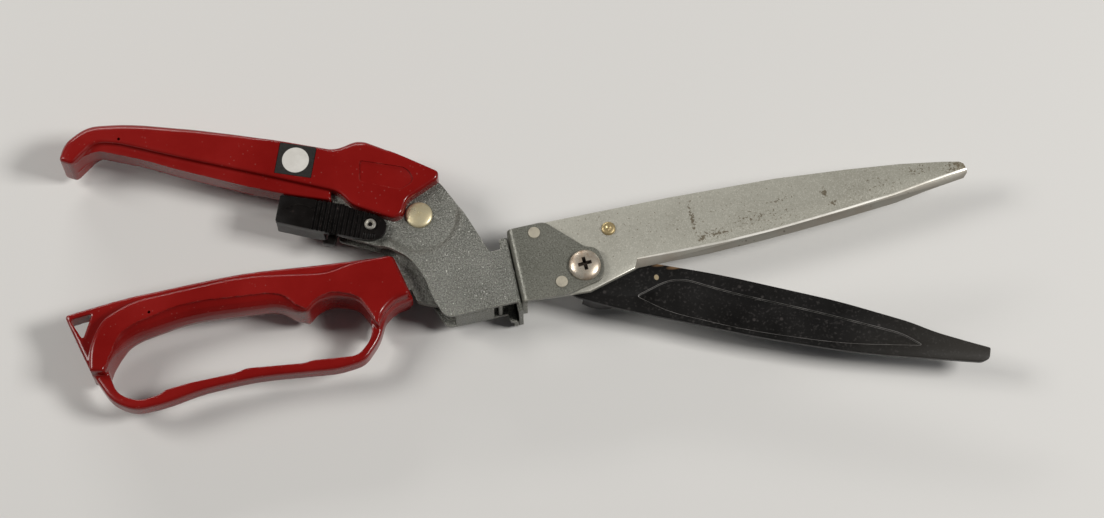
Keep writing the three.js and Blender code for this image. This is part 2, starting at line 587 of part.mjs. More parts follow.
const UPPER_BLADE_PLAN = [
  [4, 15.4], [14.8, 17, 2], [99, 16.4, 20], [145, 12.4, 10], [166, 8.9, 2], [168.1, 5.6, 1.5],
  [165.8, 2.6, 1.5], [154.8, 0.4, 3], [134.4, -2.2, 8], [99.6, -5.2, 10], [70, -6.5, 8],
  [43.8, -6.3, 0.5], [42.2, -6.9, 0.5], [25, -11.9, 2], [6, -11.2],
];
const upperBlade = plate(UPPER_BLADE_PLAN, UPPER.bottom, UPPER.top)
  .subtract(shankHole(BLADE_PIVOT, SCREW.shank))
  .subtract(shankHole(BLADE_RIVET, BLADE_RIVET.shank))
  .subtract(shankHole(BRACKET_RIVETS[0], BRACKET_RIVET.shank))
  .subtract(shankHole(BRACKET_RIVETS[1], BRACKET_RIVET.shank));
addPart("upper_blade", upperBlade, 0x98968a, 0.4, 0.6);

BRACKET_RIVETS.forEach((at, index) => {
  const { shank, head, headHeight } = BRACKET_RIVET;
  const base = BRACKET.top + GAP;
  const rivet = post(at, shank, UPPER.bottom, base + 0.1, 16)
    .add(post(at, head, base, base + headHeight, 20));
  addSteel(`bracket_rivet_${index + 1}`, rivet);
});

const bladeRivet = post(BLADE_RIVET, BLADE_RIVET.shank, UPPER.bottom, UPPER.top + GAP + 0.1, 16)
  .add(dome(BLADE_RIVET, BLADE_RIVET.head, UPPER.top + GAP, BLADE_RIVET.headHeight));
addPart("blade_rivet", bladeRivet, 0xb09a68, 0.35, 0.9);

// ------------- pivot screw, its bush, washer and nut
const screwBase = BRACKET.top + GAP;
const screwTop = screwBase + SCREW.dome;
const crossCut = (length, width) => block(
  [-length / 2, -width / 2, screwTop - SCREW.depth], [length / 2, width / 2, screwTop + MARGIN],
).translate([BLADE_PIVOT.x, BLADE_PIVOT.y, 0]);
const pivotScrew = post(BLADE_PIVOT, SCREW.shank, SCREW.bottom, screwBase + 0.2)
  .add(dome(BLADE_PIVOT, SCREW.head, screwBase, SCREW.dome))
  .subtract(crossCut(SCREW.slotLength, SCREW.slot))
  .subtract(crossCut(SCREW.slot, SCREW.slotLength));
addSteel("pivot_screw", pivotScrew);

const PIVOT_BUSH = { outer: 3.9, low: -4, high: LOWER.top };
const PIVOT_WASHER = { outer: 6, low: -4.9, high: -4.3 };
const roundScrew = ({ outer, low, high }) => ring(BLADE_PIVOT, SCREW.shank + GAP, outer, low, high);
addSteel("pivot_bush", roundScrew(PIVOT_BUSH));
addSteel("pivot_washer", roundScrew(PIVOT_WASHER));
const PIVOT_NUT = { corner: 4.6, low: -8.5, high: -5.2 };
const nut = post(BLADE_PIVOT, PIVOT_NUT.corner, PIVOT_NUT.low, PIVOT_NUT.high, 6)
  .subtract(shankHole(BLADE_PIVOT, SCREW.shank));
addSteel("pivot_nut", nut);

// ------------- return spring: coil round the bush, its straight leg bears on the flange
class SpringPath extends THREE.Curve {
  getPoint(t) {
    const { mean, low, high, turns, legEnd } = COIL;
    const legLength = BLADE_PIVOT.x - legEnd;
    const coilLength = 2 * Math.PI * mean * turns;
    const travelled = t * (legLength + coilLength);
    if (travelled < legLength) {
      return new THREE.Vector3(legEnd + travelled, BLADE_PIVOT.y - mean, low);
    }
    const angle = (travelled - legLength) / mean;
    const rise = (high - low) * (angle / (2 * Math.PI * turns));
    return new THREE.Vector3(
      BLADE_PIVOT.x + mean * Math.sin(angle),
      BLADE_PIVOT.y - mean * Math.cos(angle),
      low + rise,
    );
  }
}
const wireSection = new THREE.Shape().absarc(0, 0, COIL.wire, 0, 2 * Math.PI);
const springGeometry = new THREE.ExtrudeGeometry(wireSection, {
  steps: COIL.steps, curveSegments: 3, bevelEnabled: false, extrudePath: new SpringPath(),
});
addSteel("return_spring", solid(springGeometry));

// ---------------------------------------------------------------- yoke

const YOKE = { back: 12.5, front: 14.7, hub: 3.2, low: -1.5, high: 0.8, pin: 1.8 };
const YOKE_ARM_PLAN = [
  [YOKE.back, -3], [YOKE.front, -3], [YOKE.front, 8, 1.5], [DRIVE.x + 4, 8.4, 2],
  [DRIVE.x + 4, DRIVE_TOP + 3.4, 2], [YOKE.back, DRIVE_TOP + 3.4, 3],
];
const slotLow = DRIVE.y - YOKE.pin - 2 * GAP;
const slotHigh = DRIVE_TOP + YOKE.pin + 2 * GAP;
const yoke = spindle(YOKE.hub, YOKE.back, YOKE.front)
  .add(plate(YOKE_ARM_PLAN, YOKE.low, YOKE.high))
  .subtract(spindle(ROD.neck + GAP, YOKE.back - MARGIN, YOKE.front + MARGIN, FINE_ROUND))
  .subtract(plate([
    [DRIVE.x - YOKE.pin - GAP, slotLow, 1], [DRIVE.x + YOKE.pin + GAP, slotLow, 1],
    [DRIVE.x + YOKE.pin + GAP, slotHigh, 1], [DRIVE.x - YOKE.pin - GAP, slotHigh, 1],
  ], YOKE.low - MARGIN, YOKE.high + MARGIN));
addSteel("yoke", yoke);

// ---------------------------------------------------------------- lower blade

// Drawn along +X from the pivot with the cutting edge on the +Y side, then turned open.
const PIVOT_HOLE = PIVOT_BUSH.outer + GAP;
const driveAngle = Math.PI / 2 - BLADE_TRAVEL / 2 - BLADE_REST_ANGLE;
const driveLocal = { x: DRIVE_REACH * Math.cos(driveAngle), y: DRIVE_REACH * Math.sin(driveAngle) };
const LOWER_BLADE_PLAN = [
  [-7.6, -4, 3], [-2.4, -10.6, 3], [15.6, -11.2, 4], [42, -10.3, 8], [68.5, -9.5, 10],
  [103.1, -6.7, 12], [144.5, 0.6, 2], [147.4, 3.4, 1.4], [146.4, 6.5, 1], [139, 6.7, 3],
  [126.5, 7.4, 4], [117.4, 8.9, 4], [90.6, 10.4, 8], [47.5, 10, 10], [24, 8.4, 3],
  [9, 7.6, 3], [3, 17, 3], [driveLocal.x - 1, 19.4, 2.5], [driveLocal.x - 4.4, 14, 2.5],
  [-7.8, 4, 3],
];
const PANEL_PLAN = [
  [20.4, -5.2, 1.4], [33, -8.2, 7], [62, -8.2, 12], [96, -4.8, 12], [123.4, 1.4, 1.6],
  [115, 4, 5], [84, 4.6, 10], [53, 4.2, 10], [32, 5.4, 7],
];
const PANEL_DEPTH = 0.8;
const lowerBladePlace = (piece) =>
  piece.rotate([0, 0, THREE.MathUtils.radToDeg(BLADE_REST_ANGLE)])
    .translate([BLADE_PIVOT.x, BLADE_PIVOT.y, 0]);
const AXIS = { x: 0, y: 0 };
const DRIVE_PIN = { radius: YOKE.pin, rivet: YOKE.pin - 0.5, low: -2.2 };
const lowerBlade = plate(LOWER_BLADE_PLAN, LOWER.bottom, LOWER.top)
  .subtract(post(AXIS, PIVOT_HOLE, 0, GRIP_HALF))
  .subtract(plate(PANEL_PLAN, LOWER.top - PANEL_DEPTH, LOWER.top + MARGIN))
  .subtract(post(driveLocal, DRIVE_PIN.rivet + GAP, 0, GRIP_HALF));
addPart("lower_blade", lowerBladePlace(lowerBlade), 0x222224, 0.45, 0.2);

const drivePin = post(DRIVE, DRIVE_PIN.radius, DRIVE_PIN.low, LOWER.bottom - GAP)
  .add(post(DRIVE, DRIVE_PIN.rivet, DRIVE_PIN.low, LOWER.top));
addSteel("drive_pin", drivePin);

// ------------- hub under the lower blade, a cup round the spring and nut
const HUB = { low: -7.5, high: LOWER.bottom - GAP, pocket: 6.4, web: 1.6 };
const HUB_PLAN = [
  [-7.8, -4, 4], [-2, -8.4, 4], [6, -10.4, 4], [14, -8, 5], [16.2, 0, 5], [14, 7, 5],
  [6, 9.4, 4], [-2, 8, 4], [-7.8, 4, 4],
];
const hub = plate(HUB_PLAN, HUB.low, HUB.high)
  .subtract(post(AXIS, HUB.pocket, HUB.low - MARGIN, HUB.high - HUB.web))
  .subtract(post(AXIS, PIVOT_HOLE, HUB.low, HUB.high + MARGIN));
const LEG_WINDOW = { back: -12, low: -9, high: 4.5 };
const legWindow = block(
  [LEG_WINDOW.back, LEG_WINDOW.low, HUB.low - MARGIN],
  [0, LEG_WINDOW.high, HUB.high - HUB.web],
).rotate([0, 0, -THREE.MathUtils.radToDeg(BLADE_REST_ANGLE)]);
addBlackPlastic("spring_hub", lowerBladePlace(hub.subtract(legWindow)));

// ---------------------------------------------------------------- origin

const box = new THREE.Box3().setFromObject(group);
group.position.set(-(box.min.x + box.max.x) / 2, -(box.min.y + box.max.y) / 2, -box.min.z);

export default group;
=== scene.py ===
# Single-hand grass shears with a swivelling blade head, lying flat with the handles open.
# The sections follow the tool as it is put together: frame, grips, latch, blade head, blades.
# Sizes are in millimetres from the point where the swivel axis crosses the joint between
# frame and head: x along the axis towards the blade tips, y towards the upper grip, z up.
import math

import bmesh
import bpy
from mathutils import Matrix, Vector


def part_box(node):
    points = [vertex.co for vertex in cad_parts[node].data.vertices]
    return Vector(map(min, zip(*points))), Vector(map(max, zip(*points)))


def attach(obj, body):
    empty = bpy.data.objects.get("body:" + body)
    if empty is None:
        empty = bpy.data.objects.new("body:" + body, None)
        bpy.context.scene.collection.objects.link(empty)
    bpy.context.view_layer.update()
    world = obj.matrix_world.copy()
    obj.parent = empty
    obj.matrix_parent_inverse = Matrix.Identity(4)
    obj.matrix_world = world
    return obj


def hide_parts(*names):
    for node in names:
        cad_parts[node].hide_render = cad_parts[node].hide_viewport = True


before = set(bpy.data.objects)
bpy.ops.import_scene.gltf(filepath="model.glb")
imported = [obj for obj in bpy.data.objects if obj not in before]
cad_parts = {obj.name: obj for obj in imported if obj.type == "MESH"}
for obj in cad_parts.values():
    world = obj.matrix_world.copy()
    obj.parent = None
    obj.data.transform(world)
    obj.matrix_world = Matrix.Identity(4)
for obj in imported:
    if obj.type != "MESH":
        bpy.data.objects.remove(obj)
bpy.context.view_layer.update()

# ---------------------------------------------------------------- near plate
# The upper frame plate is pressed from 1.5 mm steel sheet. It is sunk round the main rivet
# by a curved step, and its front end is bent down into the swivel flange. It is painted
# grey with a hammer finish, whose fine grains and bright flecks catch the light.

MM = 0.001
MAIN_PIVOT = Vector((-29.3, 29.6))
# The point that sizes are measured from, found from where the plate and the rivet lie.
rivet_low, rivet_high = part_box("main_rivet")
HOME = Vector((
    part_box("near_plate")[1].x,
    (rivet_low.y + rivet_high.y) / 2 - MAIN_PIVOT.y * MM,
    (rivet_low.z + rivet_high.z) / 2,
))
PLACE = Matrix.Translation(HOME) @ Matrix.Scale(MM, 4)
EASE_LIMIT = 0.45  # most of a side that one corner's rounding may take up


def rounded(corners, steps=6):
    """Closed outline through corners (x, y, ease, ...): the ease is how far from the
    corner its rounding starts. Further numbers of a corner are kept with its points."""
    points = []
    for index, corner in enumerate(corners):
        here = Vector(corner[:2])
        ease = corner[2] if len(corner) > 2 else 0
        before = Vector(corners[index - 1][:2]) - here
        after = Vector(corners[(index + 1) % len(corners)][:2]) - here
        ease = min(ease, EASE_LIMIT * before.length, EASE_LIMIT * after.length)
        extra = tuple(corner[3:])
        if ease <= 0:
            points.append((here.x, here.y) + extra)
            continue
        start = here + before.normalized() * ease
        end = here + after.normalized() * ease
        for step in range(steps + 1):
            t = step / steps
            on_curve = start * (1 - t) ** 2 + here * 2 * t * (1 - t) + end * t * t
            points.append((on_curve.x, on_curve.y) + extra)
    return points


def smoothstep(low, high, value):
    t = min(max((value - low) / (high - low), 0), 1)
    return t * t * (3 - 2 * t)


def flat_blank(corners, cell):
    """Flat sheet inside an outline, cut into a grid fine enough to be pressed."""
    points = rounded(corners)
    mesh = bmesh.new()
    mesh.faces.new([mesh.verts.new((point[0], point[1], 0)) for point in points])
    for axis in (0, 1):
        low = min(point[axis] for point in points)
        high = max(point[axis] for point in points)
        normal = Vector((axis == 0, axis == 1, 0))
        for cut in range(1, math.ceil((high - low) / cell)):
            everything = mesh.verts[:] + mesh.edges[:] + mesh.faces[:]
            bmesh.ops.bisect_plane(
                mesh, geom=everything, dist=1e-4, plane_co=normal * (low + cut * cell),
                plane_no=normal)
    bmesh.ops.recalc_face_normals(mesh, faces=mesh.faces)
    if mesh.faces[:][0].normal.z < 0:
        bmesh.ops.reverse_faces(mesh, faces=mesh.faces)
    return mesh


def bent_down(u, top, bend, radius):
    """Place (x, z) of a point of the blank at u, once the front end is bent down."""
    past = u - bend
    if past <= 0:
        return u, top
    turn = past / radius
    if turn < math.pi / 2:
        return bend + radius * math.sin(turn), top - radius * (1 - math.cos(turn))
    return bend + radius, top - radius - (past - radius * math.pi / 2)


def settle(name, mesh, body, finishes, stands_for=(), steps=(), sharp=35):
    """Puts a finished mesh in its place and hands it to its body."""
    mesh.transform(PLACE)
    rough = bpy.data.meshes.new(name)
    mesh.to_mesh(rough)
    mesh.free()
    for finish in finishes:
        rough.materials.append(finish)
    piece = bpy.data.objects.new(name, rough)
    bpy.context.scene.collection.objects.link(piece)
    helpers = []
    for kind, values in steps:
        modifier = piece.modifiers.new(kind.lower(), kind)
        for key, value in values.items():
            setattr(modifier, key, value)
        if kind == "BOOLEAN":
            helpers.append(values["object"])
    if steps:
        evaluated = piece.evaluated_get(bpy.context.evaluated_depsgraph_get())
        final = bpy.data.meshes.new_from_object(evaluated)
        final.name = name
        piece.modifiers.clear()
        piece.data = final
        bpy.data.meshes.remove(rough)
    for helper in helpers:
        bpy.data.objects.remove(helper)
    piece.data.shade_smooth()
    piece.data.set_sharp_from_angle(angle=math.radians(sharp))
    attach(piece, body)
    if stands_for:
        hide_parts(*stands_for)


def eased(width, angle, segments=3, material=-1):
    """Bevel step for settle(), on edges that turn by more than the angle."""
    return ("BEVEL", {
        "width": width * MM, "segments": segments, "limit_method": "ANGLE",
        "angle_limit": math.radians(angle), "material": material})


def ease_edges(mesh, edges, offset, segments, material=-1):
    """Bevels chosen edges of a mesh that is still being made."""
    bmesh.ops.bevel(mesh, geom=edges, offset=offset, offset_type="OFFSET", segments=segments,
                    profile=0.5, affect="EDGES", material=material)


def node(tree, kind, inputs=None, **settings):
    """Adds a shader node. An input takes a value, or the output socket that feeds it."""
    made = tree.nodes.new("ShaderNode" + kind)
    for key, value in settings.items():
        setattr(made, key, value)
    for key, value in (inputs or {}).items():
        if isinstance(value, bpy.types.NodeSocket):
            tree.links.new(value, made.inputs[key])
        else:
            made.inputs[key].default_value = value
    return made


def colour_mix(tree, factor, first, second):
    """Colour between two colours or colour sockets."""
    made = node(tree, "Mix", data_type="RGBA")
    for socket, value in ((made.inputs[0], factor), (made.inputs[6], first),
                          (made.inputs[7], second)):
        if isinstance(value, bpy.types.NodeSocket):
            tree.links.new(value, socket)
        else:
            socket.default_value = value
    return made.outputs[2]


def between(tree, value, low, high, to_low=0.0, to_high=1.0):
    """Value rescaled from one range to another and kept inside it."""
    made = node(tree, "MapRange", {
        "Value": value, "From Min": low, "From Max": high, "To Min": to_low,
        "To Max": to_high})
    return made.outputs["Result"]


def times(tree, first, second):
    made = node(tree, "Math", operation="MULTIPLY")
    for socket, value in zip(made.inputs, (first, second)):
        if isinstance(value, bpy.types.NodeSocket):
            tree.links.new(value, socket)
        else:
            socket.default_value = value
    return made.outputs[0]


def effect(name, inputs, outputs):
    """Empty shader node group with named inputs and outputs, and its two end nodes."""
    tree = bpy.data.node_groups.new(name, "ShaderNodeTree")
    for label, value in inputs.items():
        socket = tree.interface.new_socket(label, in_out="INPUT", socket_type="NodeSocketFloat")
        socket.default_value = value
    for label in outputs:
        tree.interface.new_socket(label, in_out="OUTPUT", socket_type="NodeSocketFloat")
    return tree, tree.nodes.new("NodeGroupInput"), tree.nodes.new("NodeGroupOutput")


def use(tree, group, **values):
    """Places an effect in a material with its own values."""
    made = tree.nodes.new("ShaderNodeGroup")
    made.node_tree = group
    for label, value in values.items():
        made.inputs[label.replace("_", " ").capitalize()].default_value = value
    return made.outputs


def object_coordinates(tree):
    return node(tree, "TexCoord").outputs["Object"]


def bumpy(tree, shader, height, strength, distance):
    """Raises the surface by a mask: the distance is its greatest height, in metres."""
    bump = node(tree, "Bump", {"Height": height, "Strength": strength, "Distance": distance})
    tree.links.new(bump.outputs["Normal"], shader.inputs["Normal"])


def finish(name):
    """New material, with its node tree and its Principled shader."""
    made = bpy.data.materials.new(name)
    made.use_nodes = True
    return made, made.node_tree, made.node_tree.nodes["Principled BSDF"]


# Worn edges: where the surface turns sharply, broken up by noise.
wear, entry, end = effect("worn_edges", {"Reach": 0.0005, "Patch size": 300.0}, ["Mask"])
soft = node(wear, "Bevel", {"Radius": entry.outputs["Reach"]}, samples=4)
true = node(wear, "NewGeometry")
likeness = node(wear, "VectorMath", {0: soft.outputs["Normal"], 1: true.outputs["Normal"]},
                operation="DOT_PRODUCT")
patches = node(wear, "TexNoise", {
    "Vector": object_coordinates(wear), "Scale": entry.outputs["Patch size"], "Detail": 4.0})
edge = between(wear, likeness.outputs["Value"], 0.995, 0.88)
broken = between(wear, patches.outputs["Fac"], 0.46, 0.6)
wear.links.new(times(wear, edge, broken), end.inputs["Mask"])

# Handled surface: slow variation, fine grain, and sparse specks of dust or grit.
handled, entry, end = effect(
    "handled_surface", {"Cloud size": 40.0, "Grain size": 1500.0, "Speck size": 700.0},
    ["Cloud", "Grain", "Specks"])
place = object_coordinates(handled)
cloud = node(handled, "TexNoise", {
    "Vector": place, "Scale": entry.outputs["Cloud size"], "Detail": 5.0, "Roughness": 0.6})
grain = node(handled, "TexNoise", {
    "Vector": place, "Scale": entry.outputs["Grain size"], "Detail": 2.0})
cells = node(handled, "TexVoronoi", {
    "Vector": place, "Scale": entry.outputs["Speck size"]})
chosen = node(handled, "SeparateColor", {"Color": cells.outputs["Color"]})
near_centre = between(handled, cells.outputs["Distance"], 0.34, 0.18)
rare = between(handled, chosen.outputs["Red"], 0.93, 0.95)
handled.links.new(cloud.outputs["Fac"], end.inputs["Cloud"])
handled.links.new(grain.outputs["Fac"], end.inputs["Grain"])
handled.links.new(times(handled, near_centre, rare), end.inputs["Specks"])


def hammer_paint(name, dark, light, fleck, fleck_amount, grain_height):
    """Paint that dries in small grains. Flecks of aluminium show in it."""
    made, tree, shader = finish(name)
    surface = use(tree, handled, cloud_size=60.0, grain_size=1900.0, speck_size=1300.0)
    worn = use(tree, wear, reach=0.0004, patch_size=500.0)
    ground = colour_mix(tree, between(tree, surface["Cloud"], 0.35, 0.65), dark, light)
    grained = colour_mix(tree, between(tree, surface["Grain"], 0.46, 0.72, 0, 0.3),
                         ground, fleck)
    flecked = colour_mix(tree, times(tree, surface["Specks"], fleck_amount), grained, fleck)
    bare = colour_mix(tree, times(tree, worn["Mask"], 0.55), flecked,
                      (0.42, 0.38, 0.32, 1))
    tree.links.new(bare, shader.inputs["Base Color"])
    rough = between(tree, surface["Grain"], 0.3, 0.7, 0.24, 0.44)
    tree.links.new(rough, shader.inputs["Roughness"])
    shader.inputs["Metallic"].default_value = 0.3
    bumpy(tree, shader, surface["Grain"], grain_height, 0.0004)
    return made


frame_paint = hammer_paint(
    "frame_paint", (0.105, 0.106, 0.09, 1), (0.15, 0.15, 0.13, 1), (0.62, 0.62, 0.56, 1),
    0.9, 0.9)

SHEET = 1.5
BODY_TOP = 6.5  # the plate's outer face, above the tool's mid plane
LOBE_TOP = 4.0  # the same face where it is sunk round the rivet
STEP = (13.2, 16.6)  # radii of the curved step round the main rivet
BEND = 2.0  # outside radius of the bend into the flange
FLANGE_LOW = -13.5
CELL = 0.7  # grid that a flat blank is cut into before it is pressed
SUNK_FROM = (-158, -142)  # directions from the rivet, in degrees, where the step fades in
SUNK_TO = (-12, 6)  # and where it fades out
near_reach = BEND * math.pi / 2 + (BODY_TOP - BEND - FLANGE_LOW) - BEND
NEAR_BLANK = [
    (-3.4, 9.8, 0.8), (-3.2, 13.8, 1.2), (near_reach, 14, 4), (near_reach, -14, 4),
    (-0.7, -14, 2), (-0.9, -10.8, 0.4), (-27.6, -11.3, 3.2), (-30.4, -3.5, 2), (-31.9, 5, 3),
    (-35.5, 13.2, 4), (-41, 18.2, 2), (-46.5, 21.4, 3), (-59.4, 28.4, 1.5), (-57, 36, 3),
    (-59.5, 43.5, 1), (-56, 50), (-45, 52, 3), (-33, 47.5, 3), (-19.5, 40.5, 2), (-14.6, 30, 3),
    (-7.4, 9.8, 1.2),
]


def step_share(x, y):
    """How far a point of a frame plate lies up the step: 0 round the rivet, 1 outside."""
    away = Vector((x, y)) - MAIN_PIVOT
    turn = math.degrees(math.atan2(away.y, away.x))
    sunk_side = smoothstep(*SUNK_FROM, turn) * (1 - smoothstep(*SUNK_TO, turn))
    run = min(max((away.length - STEP[0]) / (STEP[1] - STEP[0]), 0), 1)
    return sunk_side * (1 - (1 - run) ** 2)


def frame_plate(corners, bend, side):
    """Pressed plate, before it gets its thickness: side is 1 for the near, -1 for the far."""
    mesh = flat_blank(corners, CELL)
    for vertex in mesh.verts:
        share = step_share(vertex.co.x, vertex.co.y)
        top = LOBE_TOP + (BODY_TOP - LOBE_TOP) * share
        if side < 0:
            top = SHEET - top
        vertex.co.x, vertex.co.z = bent_down(vertex.co.x, top, bend, BEND)
    return mesh


def bevelled_box(mesh, low, high, offset):
    """Adds a block between two corners, with every edge eased."""
    sides = Vector(high) - Vector(low)
    middle = (Vector(high) + Vector(low)) / 2
    matrix = Matrix.Translation(middle) @ Matrix.Diagonal((*sides, 1))
    made = bmesh.ops.create_cube(mesh, size=1, matrix=matrix)
    edges = list({edge for vertex in made["verts"] for edge in vertex.link_edges})
    ease_edges(mesh, edges, offset, 3)


def sheet_steps(thickness, edge):
    """Steps for settle() that turn a pressed surface into sheet metal with eased edges."""
    return [
        ("SOLIDIFY", {"thickness": thickness * MM, "offset": -1, "use_even_offset": True}),
        eased(edge, 50),
    ]


PLATE_EDGE = 0.28
settle("near_plate_sheet", frame_plate(NEAR_BLANK, -BEND, 1), "frame",
       [frame_paint], ["near_plate"], sheet_steps(SHEET, PLATE_EDGE))

# A short tab is bent down from the plate's lower edge, close to the flange.
TAB_EDGE = 0.35
tab = bmesh.new()
bevelled_box(tab, (-8.3, -10.9, -4.6), (-6.9, -9.5, 6.1), TAB_EDGE)
settle("near_plate_tab", tab, "frame", [frame_paint])

# ---------------------------------------------------------------- far plate
# The lower frame plate has the same step, pressed the other way. Its own short flange is
# bent down behind the near one, and a web on its lower edge closes the frame.

FAR_FLANGE_FRONT = -1.8
far_reach = FAR_FLANGE_FRONT - BEND + BEND * math.pi / 2 + (SHEET - BODY_TOP) - BEND - FLANGE_LOW
FAR_BLANK = [
    (-5.4, 9.8, 0.8), (-4.6, 14, 1.2), (far_reach, 14, 4), (far_reach, -14, 4),
    (-4.6, -14, 1), (-5, -10.8, 0.4), *NEAR_BLANK[6:-1], (-7.4, 9.8, 1.2),
]
settle("far_plate_sheet", frame_plate(FAR_BLANK, FAR_FLANGE_FRONT - BEND, -1), "frame",
       [frame_paint], ["far_plate"], sheet_steps(SHEET, PLATE_EDGE))
web = bmesh.new()
bevelled_box(web, (-24, -11.2, -6.2), (-10, -9.7, 4.6), TAB_EDGE)
settle("far_plate_web", web, "frame", [frame_paint])

# ---------------------------------------------------------------- upper grip
# A hooked grip of red PVC, moulded over the tails of the frame plates. Its body is 18 mm
# thick with soft edges, and a thinner rib runs along its underside from the hook.


def standing_at(centre, turn=0.0):
    """Where a piece goes that was made round the origin, turned about its upright axis."""
    return Matrix.Translation((centre.x, centre.y, 0)) @ Matrix.Rotation(turn, 4, "Z")


def lofted(mesh, rings):
    """Closed solid through rings of points, each ring grown out of the one before."""
    cap = mesh.faces.new([mesh.verts.new(point) for point in rings[0]])
    for ring in rings[1:]:
        grown = bmesh.ops.extrude_face_region(mesh, geom=[cap], use_keep_orig=True)
        if ring is not rings[1]:
            bmesh.ops.delete(mesh, geom=[cap], context="FACES_ONLY")
        cap = next(item for item in grown["geom"] if isinstance(item, bmesh.types.BMFace))
        for vertex, point in zip(cap.verts, ring):
            vertex.co = point
    bmesh.ops.recalc_face_normals(mesh, faces=mesh.faces)


RADIUS_BLEND = 4  # times that an edge radius is averaged with its neighbours


def soft_solid(mesh, corners, low, high, steps=6):
    """Moulded solid between two heights. A corner's fourth number is its edge radius."""
    points = rounded(corners)
    flat = [Vector(point[:2]) for point in points]
    area = sum(flat[i - 1].x * flat[i].y - flat[i].x * flat[i - 1].y for i in range(len(flat)))
    inward = 1 if area > 0 else -1
    normals = []
    for index, here in enumerate(flat):
        along = (flat[(index + 1) % len(flat)] - flat[index - 1]).normalized()
        normals.append(Vector((-along.y, along.x)) * inward)
    radii = [point[2] for point in points]
    for _ in range(RADIUS_BLEND):
        radii = [(radii[i - 1] + 2 * radii[i] + radii[(i + 1) % len(radii)]) / 4
                 for i in range(len(radii))]
    rings = []
    for step in range(steps + 1):
        angle = math.pi / 2 * step / steps
        rings.append([
            (*(here + normal * radius * (1 - math.cos(angle))),
             high - radius * (1 - math.sin(angle)))
            for here, normal, radius in zip(flat, normals, radii)])
    under = [[(x, y, low + high - z) for x, y, z in ring] for ring in reversed(rings)]
    lofted(mesh, under + rings)


def prism(corners, low, high):
    """Straight-sided solid between two heights."""
    mesh = bmesh.new()
    points = rounded(corners)
    lofted(mesh, [[(p[0], p[1], low) for p in points], [(p[0], p[1], high) for p in points]])
    return mesh


def tool(mesh, lining=None):
    """Hidden object that a boolean step takes away or adds, and settle() removes."""
    mesh.transform(PLACE)
    data = bpy.data.meshes.new("tool")
    mesh.to_mesh(data)
    mesh.free()
    if lining:
        data.materials.append(lining)
    made = bpy.data.objects.new("tool", data)
    bpy.context.scene.collection.objects.link(made)
    return made


def boolean(mesh, operation="DIFFERENCE", lining=None):
    """Boolean step for settle(). The cut surface takes the lining, if there is one."""
    return ("BOOLEAN", {
        "operation": operation, "solver": "EXACT", "object": tool(mesh, lining),
        "material_mode": "TRANSFER" if lining else "INDEX"})


def carved(mesh, *cutters):
    """Mesh with other solids cut out of it, before more is added to it."""
    blank = tool(mesh)
    even = blank.modifiers.new("even", "REMESH")
    even.mode = "VOXEL"
    even.voxel_size = VOXEL * MM
    cuts = [tool(cutter) for cutter in cutters]
    for cut in cuts:
        modifier = blank.modifiers.new("cut", "BOOLEAN")
        modifier.solver = "EXACT"
        modifier.object = cut
    result = bmesh.new()
    result.from_object(blank, bpy.context.evaluated_depsgraph_get())
    result.transform(PLACE.inverted())
    for helper in [blank] + cuts:
        bpy.data.objects.remove(helper)
    return result


def pin_hole(x, y):
    """Tool for the blind hole that a pin of the mould leaves in a grip's near face."""
    mesh = bmesh.new()
    bmesh.ops.create_cone(
        mesh, cap_ends=True, segments=24, radius1=PIN_RADIUS, radius2=PIN_RADIUS,
        depth=2 * PIN_DEPTH, matrix=Matrix.Translation((x, y, GRIP_HALF)))
    return mesh


red_plastic, tree, shader = finish("red_plastic")
surface = use(tree, handled, cloud_size=28.0, grain_size=420.0, speck_size=1100.0)
worn = use(tree, wear, reach=0.0006, patch_size=260.0)
base = colour_mix(tree, between(tree, surface["Cloud"], 0.35, 0.68),
                  (0.165, 0.0035, 0.0025, 1), (0.215, 0.006, 0.0045, 1))
dusty = colour_mix(tree, times(tree, surface["Specks"], 0.12), base, (0.5, 0.3, 0.26, 1))
pale = colour_mix(tree, times(tree, worn["Mask"], 0.18), dusty, (0.4, 0.1, 0.08, 1))
tree.links.new(pale, shader.inputs["Base Color"])
tree.links.new(between(tree, surface["Cloud"], 0.3, 0.7, 0.15, 0.26), shader.inputs["Roughness"])
shader.inputs["Specular IOR Level"].default_value = 0.38
bumpy(tree, shader, surface["Grain"], 0.06, 0.0006)

# The eased edge round a pressed mark is painted a lighter red: a painted highlight along its
# outline.
painted_highlight_red, tree, shader = finish("painted_highlight_red")
surface = use(tree, handled, cloud_size=300.0, grain_size=420.0, speck_size=1100.0)
tree.links.new(colour_mix(tree, between(tree, surface["Cloud"], 0.35, 0.65),
                          (0.36, 0.04, 0.03, 1), (0.56, 0.14, 0.12, 1)),
               shader.inputs["Base Color"])
shader.inputs["Roughness"].default_value = 0.22
shader.inputs["Specular IOR Level"].default_value = 0.35

GRIP_HALF = 9.0
PIN_RADIUS = 0.55
PIN_DEPTH = 4
PAST = 1  # how far a cutting tool reaches past the face that it cuts
VOXEL = 0.42  # grid that joins body and rib into one soft moulding
UPPER_RIB_HEIGHTS = (-2.0, 6.5)
